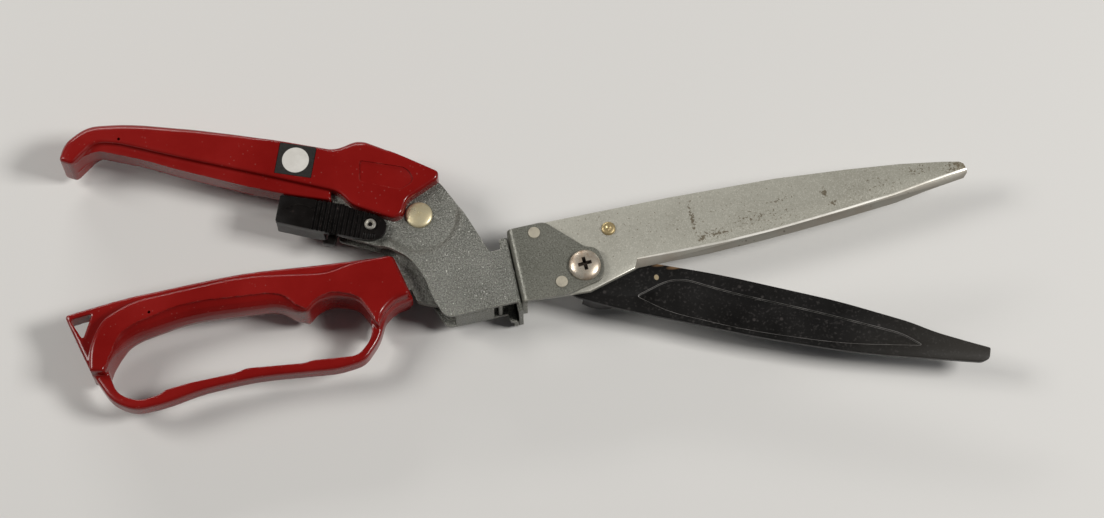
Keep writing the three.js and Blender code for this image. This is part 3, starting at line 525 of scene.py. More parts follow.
# Corners of a grip: x, y, how far from the corner its rounding starts, and edge radius.
UPPER_BODY = [
    (-152.8, 76, 1.5, 1.5), (-150, 82.6, 4, 3), (-141, 87.8, 5, 3.6), (-126, 85.6, 6, 3.6),
    (-99, 77, 10, 2.8), (-73, 67, 8, 1.5), (-54, 59.4, 4, 2.4), (-45.5, 62.2, 3.5, 3.4),
    (-32, 52.8, 5, 0.9), (-19.2, 43.2, 1.5, 1.0), (-20.2, 40.4, 1, 1.4), (-29.5, 36.4, 3, 1.4),
    (-32.6, 34.8, 1.5, 1.4), (-35.3, 29.6, 2.5, 1.4), (-38.6, 28.8, 1.5, 1.2),
    (-52.6, 37.2, 3, 0.7), (-56.2, 43.2, 3, 0.7), (-82.5, 55.6, 10, 0.8),
    (-109.6, 67.9, 8, 0.8), (-131, 78.2, 4, 0.9), (-139, 80.2, 3, 1.2), (-148.4, 73.4, 1.5, 1.2),
]
UPPER_RIB = [
    (-149, 73.6, 1, 0.7), (-143.2, 76.9, 2, 0.7), (-138, 77.6, 2, 0.7), (-122, 70.4, 6, 0.7),
    (-110.9, 64.2, 6, 0.7), (-78.5, 48.2, 8, 0.7), (-59.2, 41.2, 0.6, 0.7), (-58.8, 47, 0, 0.7),
    (-82, 60, 5, 0.7), (-110, 72, 5, 0.7), (-137, 83, 4, 0.7), (-148.5, 77, 2, 0.7),
]
D_MARK = [
    (-46.5, 53.2, 1.2), (-30, 46.8, 4.5), (-28.3, 41.2, 4), (-34, 39, 1), (-48, 45.2, 1.2),
]
MARK_DEPTH = 0.5
LABEL = Vector((-69, 58))
LABEL_HALF = (6.6, 5.95)
LABEL_TURN = -0.36
LABEL_SEAT = 0.25  # depth of the seat that the film lies in
LABEL_ROOM = 0.2  # gap between the film and the sides of its seat


def label_shape(clearance, high):
    """Square with rounded corners, in the label's place, from its seat to a height."""
    x, y = (half + clearance for half in LABEL_HALF)
    corners = [(-x, -y, 0.5), (x, -y, 0.5), (x, y, 0.5), (-x, y, 0.5)]
    mesh = prism(corners, GRIP_HALF - LABEL_SEAT, high)
    mesh.transform(standing_at(LABEL, LABEL_TURN))
    return mesh


grip = bmesh.new()
soft_solid(grip, UPPER_RIB, *UPPER_RIB_HEIGHTS, 3)
soft_solid(grip, UPPER_BODY, -GRIP_HALF, GRIP_HALF)
MOULD_STEPS = [
    ("REMESH", {"mode": "VOXEL", "voxel_size": VOXEL * MM, "adaptivity": 0.0}),
    ("SMOOTH", {"factor": 0.5, "iterations": 3}),
]
settle("upper_grip_moulding", grip, "frame", [red_plastic, painted_highlight_red],
       ["upper_grip"], [
    *MOULD_STEPS,
    boolean(prism(D_MARK, GRIP_HALF - MARK_DEPTH, GRIP_HALF + PAST)),
    # the mark's eased edge takes the painted highlight of lighter red
    eased(0.25, 60, segments=2, material=1),
    boolean(pin_hole(-130.2, 79.4)),
    boolean(label_shape(LABEL_ROOM, GRIP_HALF + PAST)),
], sharp=40)

# ---------------------------------------------------------------- grip label
# A square of black printed film with a pale disc, stuck in a shallow seat on the grip.

DISC_RADIUS = 4.84
DISC_BLUR = 0.08
label_film, tree, shader = finish("label_film")
centred = node(tree, "VectorMath", {
    0: object_coordinates(tree), 1: HOME + LABEL.to_3d() * MM}, operation="SUBTRACT")
flat = node(tree, "VectorMath", {0: centred.outputs[0], 1: (1, 1, 0)}, operation="MULTIPLY")
distance = node(tree, "VectorMath", {0: flat.outputs[0]}, operation="LENGTH").outputs["Value"]
disc = between(tree, distance, (DISC_RADIUS + DISC_BLUR) * MM, (DISC_RADIUS - DISC_BLUR) * MM)
surface = use(tree, handled, cloud_size=200.0, grain_size=1500.0, speck_size=900.0)
grubby = between(tree, surface["Cloud"], 0.35, 0.7, 1.0, 0.7)
paper = colour_mix(tree, grubby, (0.3, 0.28, 0.24, 1), (0.62, 0.6, 0.56, 1))
tree.links.new(colour_mix(tree, disc, (0.016, 0.015, 0.013, 1), paper),
               shader.inputs["Base Color"])
tree.links.new(between(tree, surface["Grain"], 0.3, 0.7, 0.3, 0.45), shader.inputs["Roughness"])
FILM_PROUD = 0.02
settle("grip_label_film", label_shape(0, GRIP_HALF + FILM_PROUD), "frame",
       [label_film], ["grip_label"])

# ---------------------------------------------------------------- lower grip
# The moving grip is the same red PVC, moulded over the tang of the lower handle, with a
# closed finger loop. Its finger side is fully rounded, and a ridge parts the forefinger's
# place from the others. A thin triangle at its heel is the eye that it hangs from.

LOWER_BODY = [
    (-154.4, -5.6, 0.8, 1.0), (-153.6, 1.5, 3, 1.4), (-151, 7.6, 4, 1.4), (-146.6, 13, 5, 1.4),
    (-135.6, 17.2, 6, 1.3), (-95, 18.4, 10, 1.2),
    (-66, 13.4, 5, 1.2), (-56.5, 15.4, 4, 1.2), (-42.2, 15.2, 1.5, 1.0), (-38.4, -0.6, 1, 1.2),
    (-44, -1.6, 2.5, 2), (-48.6, -5, 2, 2), (-51.6, -10, 1, 1), (-53.4, -5.5, 2, 2.4),
    (-57, 2, 3, 3), (-65, 4.9, 3, 3.4), (-71, 4.2, 2.5, 3), (-75.2, 0.6, 1.5, 2.6),
    (-79.5, 2, 2, 4.5), (-85.5, 6, 4, 7.2), (-116.3, 8.2, 10, 8.4), (-138.5, 4.8, 5, 6.6),
    (-146, -1.4, 3, 3), (-149.2, -6.8, 0.8, 1.4),
]
LOWER_RIB = [
    (-160.4, 18.6, 1.5, 1.2), (-137.6, 20.8, 8, 1.2), (-95, 21.4, 10, 1.2),
    (-67.5, 18.7, 8, 1.2), (-41.4, 16.8, 1.5, 1.2), (-37.3, -1.3, 1, 1.2),
    (-43.5, -2.2, 3, 1.2), (-48, -5.2, 2.5, 1.2), (-52, -13.5, 3, 1.2),
    (-58.5, -20.2, 3, 1.2), (-68, -21.4, 5, 1.2), (-97, -18.2, 8, 1.2),
    (-117, -18.8, 8, 1.2), (-130, -21.2, 5, 1.2), (-141.5, -21.6, 4, 1.2),
    (-149, -16.6, 4, 1.2), (-154.6, -4, 5, 1.2),
]
LOOP_HOLE = [
    (-148.6, -4, 3), (-146.6, -14.4, 4), (-139.5, -18.4, 3), (-132, -17.6, 2),
    (-129.6, -16.2, 1.2), (-121, -15.4, 4), (-104, -15.2, 3), (-100.4, -14.2, 1.5),
    (-80, -16.6, 4), (-76.5, -16.2, 1.5), (-60.5, -17.8, 3),
    (-54.8, -12.6, 3), (-53.4, -5.5, 3), (-57.5, 4, 3), (-65, 8.5, 3), (-71, 8, 2.5),
    (-75.2, 4, 1.5), (-79.5, 6, 2), (-85.5, 11, 4), (-116.3, 13, 10), (-136.5, 10.5, 5),
    (-144.5, 3, 3),
]
HANGING_EYE = [(-158.7, 16.5, 0.8), (-150.6, 17.2, 0.8), (-155.3, 8.2, 0.8)]
RIB_HALF = 4.0
loop = bmesh.new()
soft_solid(loop, LOWER_RIB, -RIB_HALF, RIB_HALF, 3)
loop = carved(loop, prism(LOOP_HOLE, -GRIP_HALF, GRIP_HALF),
              prism(HANGING_EYE, -GRIP_HALF, GRIP_HALF))
soft_solid(loop, LOWER_BODY, -GRIP_HALF, GRIP_HALF)
settle("lower_grip_moulding", loop, "lower_handle", [red_plastic],
       ["lower_grip"], [*MOULD_STEPS, boolean(pin_hole(-130.3, 11.7))], sharp=40)

# ---------------------------------------------------------------- main rivet
# The handles turn on one large rivet of zinc-plated steel, yellowed with age. Its domed
# heads were formed in a press, which left faint marks at the middle.


def turned(mesh, profile, centre, segments=48):
    """Solid of revolution on a vertical axis, from a profile of (radius, height)."""
    chain = [mesh.verts.new((centre[0] + radius, centre[1], height))
             for radius, height in profile]
    edges = [mesh.edges.new(pair) for pair in zip(chain, chain[1:])]
    bmesh.ops.spin(
        mesh, geom=chain + edges, cent=(centre[0], centre[1], 0), axis=(0, 0, 1),
        angle=2 * math.pi, steps=segments, use_merge=True)
    bmesh.ops.remove_doubles(mesh, verts=mesh.verts, dist=1e-4)
    bmesh.ops.recalc_face_normals(mesh, faces=mesh.faces)


def dome_profile(radius, base, height, lip, steps=10):
    """Low domed head that rises from an upright lip, given as a share of the height."""
    profile = [(0, base), (radius, base), (radius, base + lip * height)]
    for step in range(1, steps + 1):
        angle = math.pi / 2 * step / steps
        profile.append((radius * math.cos(angle),
                        base + height * (lip + (1 - lip) * math.sin(angle))))
    return profile


def plus_prism(low_reach, low_half, low, high_reach, high_half, high):
    """Tapered solid with a plus-shaped section, given at its bottom and its top."""
    mesh = bmesh.new()
    rings = []
    for reach, half, height in ((low_reach, low_half, low), (high_reach, high_half, high)):
        ring = []
        for quarter in range(4):
            turn = Matrix.Rotation(quarter * math.pi / 2, 4, "Z")
            for x, y in ((half, half), (reach, half), (reach, -half))[::-1]:
                ring.append(turn @ Vector((x, y, height)))
        rings.append(ring)
    lofted(mesh, rings)
    return mesh


def plated(name, light, stain, stain_amount, metal, gloss):
    """Plated metal, stained in small clouds. The gloss is its lowest roughness."""
    made, tree, shader = finish(name)
    surface = use(tree, handled, cloud_size=330.0, grain_size=2400.0, speck_size=1500.0)
    spread = between(tree, surface["Cloud"], 0.5 - stain_amount / 2, 0.75)
    tree.links.new(colour_mix(tree, spread, light, stain), shader.inputs["Base Color"])
    tree.links.new(between(tree, surface["Cloud"], 0.35, 0.7, gloss, gloss + 0.3),
                   shader.inputs["Roughness"])
    shader.inputs["Metallic"].default_value = metal
    bumpy(tree, shader, surface["Grain"], 0.12, 0.0002)
    return made


rivet_zinc = plated("rivet_zinc", (0.74, 0.66, 0.44, 1), (0.46, 0.38, 0.22, 1), 0.25, 0.55, 0.24)
SEATED = 0.02  # hair's breadth between a head and the sheet under it
dome = dome_profile(4.85, LOBE_TOP + SEATED, 1.7, 0.35)
crown = dome[-1][1]
marks = plus_prism(0.9, 0.16, crown - 0.14, 1.15, 0.26, crown + 0.5)
marks.transform(standing_at(MAIN_PIVOT, 0.35))
near_head = bmesh.new()
turned(near_head, dome, MAIN_PIVOT)
settle("main_rivet_near_head", near_head, "frame", [rivet_zinc],
       ["main_rivet"], [boolean(marks)])
far_head = bmesh.new()
turned(far_head, [(radius, -height) for radius, height in dome], MAIN_PIVOT)
settle("main_rivet_far_head", far_head, "frame", [rivet_zinc])
SHANK_RADIUS, SHANK_HALF = 2.9, 4.2
shank = bmesh.new()
turned(shank, [(0, -SHANK_HALF), (SHANK_RADIUS, -SHANK_HALF), (SHANK_RADIUS, SHANK_HALF),
               (0, SHANK_HALF)], MAIN_PIVOT)
settle("main_rivet_shank", shank, "frame", [rivet_zinc])

# ---------------------------------------------------------------- latch
# A sliding catch of black plastic on the near plate. It is held by a hollow eyelet, has
# fine cross ribs for the thumb, and its hook catches in the lower grip when pushed out.

LATCH = Vector((-47.2, 28.9))
LATCH_ANGLE = math.radians(159)
LATCH_LOW, LATCH_HIGH = 4.3, 6.8
to_latch = standing_at(LATCH, LATCH_ANGLE) @ Matrix.Diagonal((1, -1, 1, 1))


def latch_mesh(mesh):
    """From the latch's own directions, s along it and n across, to its place."""
    mesh.transform(to_latch)
    bmesh.ops.recalc_face_normals(mesh, faces=mesh.faces)
    return mesh


black_plastic, tree, shader = finish("black_plastic")
surface = use(tree, handled, cloud_size=120.0, grain_size=1600.0, speck_size=700.0)
worn = use(tree, wear, reach=0.0003, patch_size=700.0)
base = colour_mix(tree, between(tree, surface["Cloud"], 0.4, 0.7),
                  (0.003, 0.0022, 0.0018, 1), (0.0055, 0.0042, 0.0036, 1))
rubbed = colour_mix(tree, times(tree, worn["Mask"], 0.35), base, (0.07, 0.06, 0.055, 1))
dusted = colour_mix(tree, times(tree, surface["Specks"], 0.25), rubbed, (0.14, 0.1, 0.09, 1))
tree.links.new(dusted, shader.inputs["Base Color"])
tree.links.new(between(tree, surface["Cloud"], 0.3, 0.7, 0.26, 0.38), shader.inputs["Roughness"])
shader.inputs["Specular IOR Level"].default_value = 0.2
bumpy(tree, shader, surface["Grain"], 0.1, 0.0003)

LATCH_PLAN = [
    (34, -4.2, 0.8), (34, 6.1, 1), (10.8, 6.2, 2), (7.5, 5, 3), (-1, 4.2, 3), (-5.9, 2, 3),
    (-5.9, -3, 3.5), (-1.5, -5.9, 3.5), (22, -5.1, 3),
]
LATCH_BLOCK = [(33.9, -4.1, 0.8), (33.9, 6.0, 1), (16.2, 6.0), (16.2, -5.0), (22, -4.9, 3)]
BLOCK_LOW, BLOCK_HIGH = -3.7, 5.5
ARROW = [(32, 0.9, 0.4), (26.8, 3.7, 0.6), (20.9, 2.8, 0.6), (26, -0.3, 0.6)]
ARROW_DEPTH = 0.3
latch = latch_mesh(prism(LATCH_PLAN, LATCH_LOW, LATCH_HIGH))
block = latch_mesh(prism(LATCH_BLOCK, BLOCK_LOW, BLOCK_HIGH))
arrow = latch_mesh(prism(ARROW, LATCH_HIGH - ARROW_DEPTH, LATCH_HIGH + PAST))

# A ring is sunk round the eyelet, and the grooves that part the cross ribs go past it.
RING = {"inner": 2.45, "outer": 2.8, "low": 6.45, "high": 8}
ring = bmesh.new()
turned(ring, [(RING["inner"], RING["low"]), (RING["outer"], RING["low"]),
              (RING["outer"], RING["high"]), (RING["inner"], RING["high"]),
              (RING["inner"], RING["low"])], LATCH, 40)
GROOVE = {"first": 20.245, "pitch": 1.71, "count": 14, "half": 0.5, "depth": 0.55, "edge": 0.2}
GROOVE_REACH = 9  # past both sides of the catch, and above it
EYELET_ROOM = 3.3
NEAR_EYELET = 3.1  # grooves with their middle nearer than this are cut short
grooves = bmesh.new()
for index in range(GROOVE["count"]):
    s = GROOVE["first"] - index * GROOVE["pitch"]
    stretches = [(-GROOVE_REACH, GROOVE_REACH)]
    if abs(s) < NEAR_EYELET:
        stretches = [(-GROOVE_REACH, -EYELET_ROOM), (EYELET_ROOM, GROOVE_REACH)]
    for low, high in stretches:
        bevelled_box(grooves, (s - GROOVE["half"], low, LATCH_HIGH - GROOVE["depth"]),
                     (s + GROOVE["half"], high, GROOVE_REACH), GROOVE["edge"])
settle("latch_body", latch, "latch_slider", [black_plastic], ["latch"], [
    boolean(block, "UNION"),
    eased(0.35, 40),
    boolean(latch_mesh(grooves)),
    boolean(arrow),
    boolean(ring),
], sharp=30)

# The hook hangs from the catch by a neck.
HOOK_PLAN = [
    (11.8, -2, 0), (11.8, -7.6, 0.5), (16.4, -7.6, 0.5), (16.4, -6.6, 0.3), (14.8, -6.6, 0.6),
    (14.8, -2, 0),
]
HOOK_LOW, HOOK_HIGH = -1.9, 1.6
hook = latch_mesh(prism(HOOK_PLAN, HOOK_LOW, HOOK_HIGH))
ease_edges(hook, hook.edges[:], 0.15, 2)
settle("latch_hook", hook, "latch_slider", [black_plastic], sharp=30)
neck = bmesh.new()
bevelled_box(neck, (11.8, -5, HOOK_LOW), (14.8, -2, 5.2), 0.2)
settle("latch_neck", latch_mesh(neck), "latch_slider", [black_plastic])

# The eyelet is a rolled tube with a plug of dirt far down in it.
ROLLED_RIM = [
    (0.7, 5.4), (1.6, 5.4), (2.1, 6.75), (2.05, 7.1), (1.75, 7.38), (1.35, 7.42), (1.0, 7.2),
    (0.75, 6.7), (0.7, 5.4),
]
eyelet = bmesh.new()
turned(eyelet, ROLLED_RIM, LATCH, 40)
turned(eyelet, [(0, 5.5), (0.8, 5.5), (0.8, 6.1), (0, 6.1)], LATCH, 24)
eyelet_zinc = plated("eyelet_zinc", (0.6, 0.58, 0.52, 1), (0.3, 0.27, 0.22, 1), 0.2, 0.8, 0.25)
settle("latch_eyelet_rim", eyelet, "latch_slider", [eyelet_zinc],
       ["latch_eyelet"])

# ---------------------------------------------------------------- head bracket
# The blade head is carried by a bracket of 1.7 mm sheet, smooth darker grey. Its back end
# is bent down into the flange that turns against the frame's.

head_paint = hammer_paint(
    "head_paint", (0.14, 0.14, 0.115, 1), (0.172, 0.17, 0.142, 1), (0.4, 0.4, 0.36, 1),
    0.4, 0.3)
BRACKET_TOP = 7.5
BRACKET_SHEET = 1.7
HEAD_BEND = 2.2  # outside radius of the bend into the flange
HEAD_BACK = 0.3
HEAD_FLANGE_LOW = -10
head_drop = BRACKET_TOP - HEAD_BEND - HEAD_FLANGE_LOW
head_reach = HEAD_BACK + HEAD_BEND - HEAD_BEND * math.pi / 2 - head_drop
BRACKET_BLANK = [
    (head_reach, 16.3, 8), (HEAD_BACK, 16.3, 0.5), (14, 16.6, 2), (26, 4.6, 1), (30.4, 3, 2),
    (32.2, -3, 3), (30.2, -9, 3), (24.6, -10, 2), (17.2, -12, 3), (HEAD_BACK, -11.2, 0.5),
    (head_reach, -12.4, 8),
]
bracket = flat_blank(BRACKET_BLANK, CELL)
for vertex in bracket.verts:
    mirrored, height = bent_down(-vertex.co.x, BRACKET_TOP, -(HEAD_BACK + HEAD_BEND), HEAD_BEND)
    vertex.co.x, vertex.co.z = -mirrored, height
settle("head_bracket_sheet", bracket, "blade_head", [head_paint],
       ["head_bracket"], sheet_steps(BRACKET_SHEET, 0.3))

# ---------------------------------------------------------------- upper blade
# The fixed blade is 2 mm steel, painted silver-grey and stained with rust. Its cutting
# edge is ground on a slope from a line along the blade, and shows bare, browned steel.

UPPER_TOP, UPPER_LOW = 5.5, 3.5
blade_paint, tree, shader = finish("blade_paint")
surface = use(tree, handled, cloud_size=45.0, grain_size=2600.0, speck_size=900.0)
coordinates = object_coordinates(tree)
along = node(tree, "SeparateXYZ", {"Vector": coordinates}).outputs["X"]
toward_tip = between(tree, along, HOME.x + 20 * MM, HOME.x + 165 * MM)
painted = colour_mix(tree, toward_tip, (0.43, 0.42, 0.36, 1), (0.335, 0.325, 0.27, 1))
mottled = colour_mix(tree, between(tree, surface["Cloud"], 0.35, 0.65, 0.35, 0),
                     painted, (0.25, 0.235, 0.19, 1))
base = colour_mix(tree, between(tree, surface["Grain"], 0.5, 0.72, 0, 0.45),
                  mottled, (0.62, 0.6, 0.53, 1))


def spot(tree, coordinates, x, y, reach_x, reach_y, strength=1.0):
    """Mask that fades out round one place on the blade."""
    centre = HOME + Vector((x, y, 0)) * MM
    shifted = node(tree, "VectorMath", {0: coordinates, 1: centre}, operation="SUBTRACT")
    scaled = node(tree, "VectorMath", {
        0: shifted.outputs[0], 1: (1 / (reach_x * MM), 1 / (reach_y * MM), 0)},
        operation="MULTIPLY")
    reach = node(tree, "VectorMath", {0: scaled.outputs[0]}, operation="LENGTH")
    return between(tree, reach.outputs["Value"], 1.0, 0.15, 0, strength)


def largest(tree, *masks):
    """Mask that is as strong as the strongest of several."""
    total = masks[0]
    for mask in masks[1:]:
        total = node(tree, "Math", {0: total, 1: mask}, operation="MAXIMUM").outputs[0]
    return total


RUST_MARKS = [  # x, y, reach along, reach across, strength
    (66.6, 7.2, 1.5, 9, 0.8), (68.2, -0.6, 2.6, 2.6, 0.8), (74, 0.2, 10, 3.4, 0.6),
    (90, 3.5, 16, 2.2, 0.5), (98, 8, 12, 1.5, 0.4), (92, 2.5, 30, 8, 0.3),
    (115.4, 7.5, 2.2, 2.8, 0.85), (117.6, 2.8, 2.4, 1.8, 0.8), (134, 6, 24, 8, 0.28),
    (150, 9, 9, 3, 0.45), (166, 6.5, 12, 6, 0.6), (60, 8, 90, 16, 0.16),
]
speckle = node(tree, "TexNoise", {
    "Vector": coordinates, "Scale": 1050.0, "Detail": 5.0, "Roughness": 0.65})
where = largest(tree, *[spot(tree, coordinates, *mark) for mark in RUST_MARKS])
dotted = node(tree, "Math", {0: speckle.outputs["Fac"], 1: times(tree, where, 0.3)},
              operation="ADD").outputs[0]
rust_mask = between(tree, dotted, 0.645, 0.715, 0, 0.85)
rusted = colour_mix(tree, rust_mask, base, (0.11, 0.085, 0.05, 1))
tip = spot(tree, coordinates, 170, 5.8, 7, 9)
tipped = colour_mix(tree, times(tree, tip, 0.8), rusted, (0.17, 0.13, 0.075, 1))
tree.links.new(tipped, shader.inputs["Base Color"])
tree.links.new(between(tree, surface["Grain"], 0.3, 0.7, 0.36, 0.5), shader.inputs["Roughness"])
shader.inputs["Metallic"].default_value = 0.3
bumpy(tree, shader, surface["Grain"], 0.2, 0.0003)

ground_steel, tree, shader = finish("ground_steel")
surface = use(tree, handled, cloud_size=90.0, grain_size=900.0, speck_size=700.0)
tarnish = colour_mix(tree, between(tree, surface["Cloud"], 0.38, 0.66),
                     (0.3, 0.285, 0.245, 1), (0.25, 0.22, 0.18, 1))
pitted = colour_mix(tree, times(tree, surface["Specks"], 0.6), tarnish, (0.07, 0.045, 0.03, 1))
tree.links.new(pitted, shader.inputs["Base Color"])
tree.links.new(between(tree, surface["Cloud"], 0.3, 0.7, 0.36, 0.5), shader.inputs["Roughness"])
shader.inputs["Metallic"].default_value = 0.4
bumpy(tree, shader, surface["Grain"], 0.15, 0.0002)

# Where an edge is rubbed the paint is gone and the steel is bare, in a broken line. Its
# near-white colour is also a painted highlight along the grinding line.
bare_steel_highlight, tree, shader = finish("bare_steel_highlight")
surface = use(tree, handled, cloud_size=45.0, grain_size=900.0, speck_size=500.0)
tree.links.new(colour_mix(tree, between(tree, surface["Cloud"], 0.4, 0.66),
                          (0.9, 0.87, 0.8, 1), (0.48, 0.45, 0.38, 1)),
               shader.inputs["Base Color"])
shader.inputs["Roughness"].default_value = 0.34
shader.inputs["Metallic"].default_value = 0.5

# The flat of the blade and the ground strip share the grinding line.
GRIND_LINE = [(43.9, -3.2), (60, -3.6), (76.8, -3.5), (93, -2.8), (104.2, -1.9), (122, -0.3),
              (140.3, 1.6), (152.6, 3.6), (162.3, 5.0), (168, 5.7)]
CUTTING_EDGE = [(168, 4.6), (166.4, 3.0), (162, 2.4), (151.9, 0.9), (139.7, -1.3),
                (121, -3.1), (103.7, -4.5), (88, -5.5), (70, -6.3), (43.8, -6.3)]
BLADE_FLAT = [(42.2, -6.9), (25, -11.9), (17, -11.4), (6, -10.8), (4, 15.4), (14.8, 17),
              (60, 17.1), (99, 16.3), (125, 14.4), (145, 12.4), (160, 10.1), (166, 8.9),
              (167.4, 7.9)]
EDGE_LEFT = 0.35  # thickness left at the ground edge
TIP_DROP = 0.7  # how far the slope has fallen where it meets the tip
blade = bmesh.new()
line = [blade.verts.new((x, y, UPPER_TOP)) for x, y in GRIND_LINE]
cutting = [blade.verts.new((x, y, UPPER_TOP)) for x, y in CUTTING_EDGE]
flat_side = [blade.verts.new((x, y, UPPER_TOP)) for x, y in BLADE_FLAT]
top_faces = [blade.faces.new(flat_side + list(reversed(line))),
             blade.faces.new(line + cutting),
             blade.faces.new([line[0], cutting[-1], flat_side[0]])]
bmesh.ops.recalc_face_normals(blade, faces=blade.faces)
if top_faces[0].normal.z < 0:
    bmesh.ops.reverse_faces(blade, faces=blade.faces)
grown = bmesh.ops.extrude_face_region(blade, geom=top_faces, use_keep_orig=True)
for item in grown["geom"]:
    if isinstance(item, bmesh.types.BMVert):
        item.co.z = UPPER_LOW
for vertex in cutting[1:]:
    vertex.co.z = UPPER_LOW + EDGE_LEFT
cutting[0].co.z = UPPER_TOP - TIP_DROP
bmesh.ops.recalc_face_normals(blade, faces=blade.faces)
top_faces[1].material_index = 1
top_faces[2].material_index = 1
# The grinding line and one edge of the flat are eased, and their eased faces take the painted
# highlight.
highlight_edges = [blade.edges.get(pair) for pair in zip(line, line[1:])]
highlight_edges.append(blade.edges.get(flat_side[:2]))
ease_edges(blade, highlight_edges, 0.4, 2, material=2)
settle("upper_blade_ground", blade, "blade_head",
       [blade_paint, ground_steel, bare_steel_highlight], ["upper_blade"],
       [eased(0.15, 40, segments=2)], sharp=30)

# ---------------------------------------------------------------- head rivets
# Two flat-headed rivets join bracket and blade, and a small brass one closes a spare hole.

small_zinc = plated("small_zinc", (0.5, 0.46, 0.36, 1), (0.34, 0.31, 0.25, 1), 0.3, 0.35, 0.4)
FLAT_HEAD = [(0, 7.3), (2.15, 7.3), (2.15, 7.75), (2.0, 7.95), (1.7, 8.02), (0, 8.05)]
BRACKET_RIVETS = [(9.6, 13.2), (15.5, -7.1)]
for index, centre in enumerate(BRACKET_RIVETS, start=1):
    head = bmesh.new()
    turned(head, FLAT_HEAD, centre, 40)
    settle(f"bracket_rivet_head_{index}", head, "blade_head", [small_zinc],
           [f"bracket_rivet_{index}"])
brass = plated("rivet_brass", (0.52, 0.41, 0.2, 1), (0.26, 0.19, 0.1, 1), 0.4, 0.6, 0.28)
DIMPLED_HEAD = [
    (0, 5.3), (2.55, 5.3), (2.55, 5.75), (2.4, 6.05), (2.0, 6.3), (1.4, 6.42), (0.9, 6.3),
    (0.6, 6.1), (0, 6.0),
]
BLADE_RIVET = (36.2, 9.9)
head = bmesh.new()
turned(head, DIMPLED_HEAD, BLADE_RIVET, 40)
settle("blade_rivet_head", head, "blade_head", [brass], ["blade_rivet"])

# ---------------------------------------------------------------- pivot screw
# The blades turn on an M5 screw with a pan head and a cross recess, plated and rusting on
# the side away from the hand.

BLADE_PIVOT = Vector((24.8, -2.8))
SCREW_BASE = BRACKET_TOP + SEATED
rusty_screw = plated(
    "screw_zinc", (0.74, 0.68, 0.57, 1), (0.22, 0.13, 0.07, 1), 0.36, 0.65, 0.22)
screw = bmesh.new()
turned(screw, dome_profile(5.65, SCREW_BASE, 2.5, 0.28, 12), BLADE_PIVOT, 64)

# The cross recess narrows downwards. Its lining is painted dark: painted shade deep in the
# recess, together with its dirt.
dark_lining = plated("recess_shade_and_dirt", (0.05, 0.034, 0.022, 1), (0.02, 0.013, 0.008, 1), 0.4, 0.1, 0.6)
recess = plus_prism(1.3, 0.45, SCREW_BASE + 0.6, 2.75, 0.7, SCREW_BASE + 2.7)
recess.transform(standing_at(BLADE_PIVOT, math.radians(4)))
settle("pivot_screw_head", screw, "blade_head", [rusty_screw],
       ["pivot_screw"], [boolean(recess, lining=dark_lining)], sharp=35)
M5_SHANK = [(0, -9.2), (2.1, -9.2), (2.45, -8.8), (2.45, 7.6), (0, 7.6)]
shank = bmesh.new()
turned(shank, M5_SHANK, BLADE_PIVOT, 32)
settle("pivot_screw_shank", shank, "blade_head", [rusty_screw])

# ---------------------------------------------------------------- lower blade
# The moving blade is steel with a thick black non-stick coating. A long panel is pressed
# into it, and a chip and a rubbed stretch of its edge show bare, rusted steel.

LOWER_TOP, LOWER_LOW = 3.2, 1.1
REST_ANGLE = math.radians(-26)
to_blade = standing_at(BLADE_PIVOT, REST_ANGLE)
black_coating, tree, shader = finish("black_coating")
coordinates = object_coordinates(tree)
surface = use(tree, handled, cloud_size=50.0, grain_size=1100.0, speck_size=420.0)
worn = use(tree, wear, reach=0.0004, patch_size=260.0)
base = colour_mix(tree, between(tree, surface["Cloud"], 0.35, 0.7),
                  (0.0045, 0.0041, 0.0038, 1), (0.0085, 0.0079, 0.0074, 1))
# The coating is painted lighter towards the tip: a painted reflection.
painted_tip_sheen = spot(tree, coordinates, 160, -62, 62, 30, 0.8)
base = colour_mix(tree, painted_tip_sheen, base, (0.036, 0.033, 0.029, 1))
scuffed = colour_mix(tree, times(tree, worn["Mask"], 0.3), base, (0.08, 0.072, 0.068, 1))
gritty = colour_mix(tree, times(tree, surface["Specks"], 0.3), scuffed, (0.1, 0.09, 0.085, 1))
dust = between(tree, surface["Grain"], 0.56, 0.74, 0, 0.4)
dusty = colour_mix(tree, dust, gritty, (0.06, 0.055, 0.052, 1))
chip = between(tree, spot(tree, coordinates, 49.3, -11.0, 1.2, 1.5), 0.3, 0.45)
bared = colour_mix(tree, chip, dusty, (0.3, 0.24, 0.15, 1))
rub = largest(tree, spot(tree, coordinates, 52.5, -6.2, 5, 1.5),
              spot(tree, coordinates, 57.5, -8.4, 5, 1.4))
rubbed = colour_mix(tree, between(tree, rub, 0.15, 0.75, 0, 0.8), bared, (0.22, 0.13, 0.065, 1))
tree.links.new(rubbed, shader.inputs["Base Color"])
tree.links.new(between(tree, surface["Cloud"], 0.3, 0.7, 0.32, 0.46), shader.inputs["Roughness"])
shader.inputs["Specular IOR Level"].default_value = 0.2
bumpy(tree, shader, surface["Grain"], 0.12, 0.0003)

# The eased rim of the pressed panel is painted greyer: a painted highlight along the rim.
panel_rim_highlight, tree, shader = finish("panel_rim_highlight")
surface = use(tree, handled, cloud_size=160.0, grain_size=1100.0, speck_size=420.0)
tree.links.new(colour_mix(tree, between(tree, surface["Cloud"], 0.38, 0.62),
                          (0.06, 0.057, 0.053, 1), (0.2, 0.19, 0.18, 1)),
               shader.inputs["Base Color"])
shader.inputs["Roughness"].default_value = 0.3

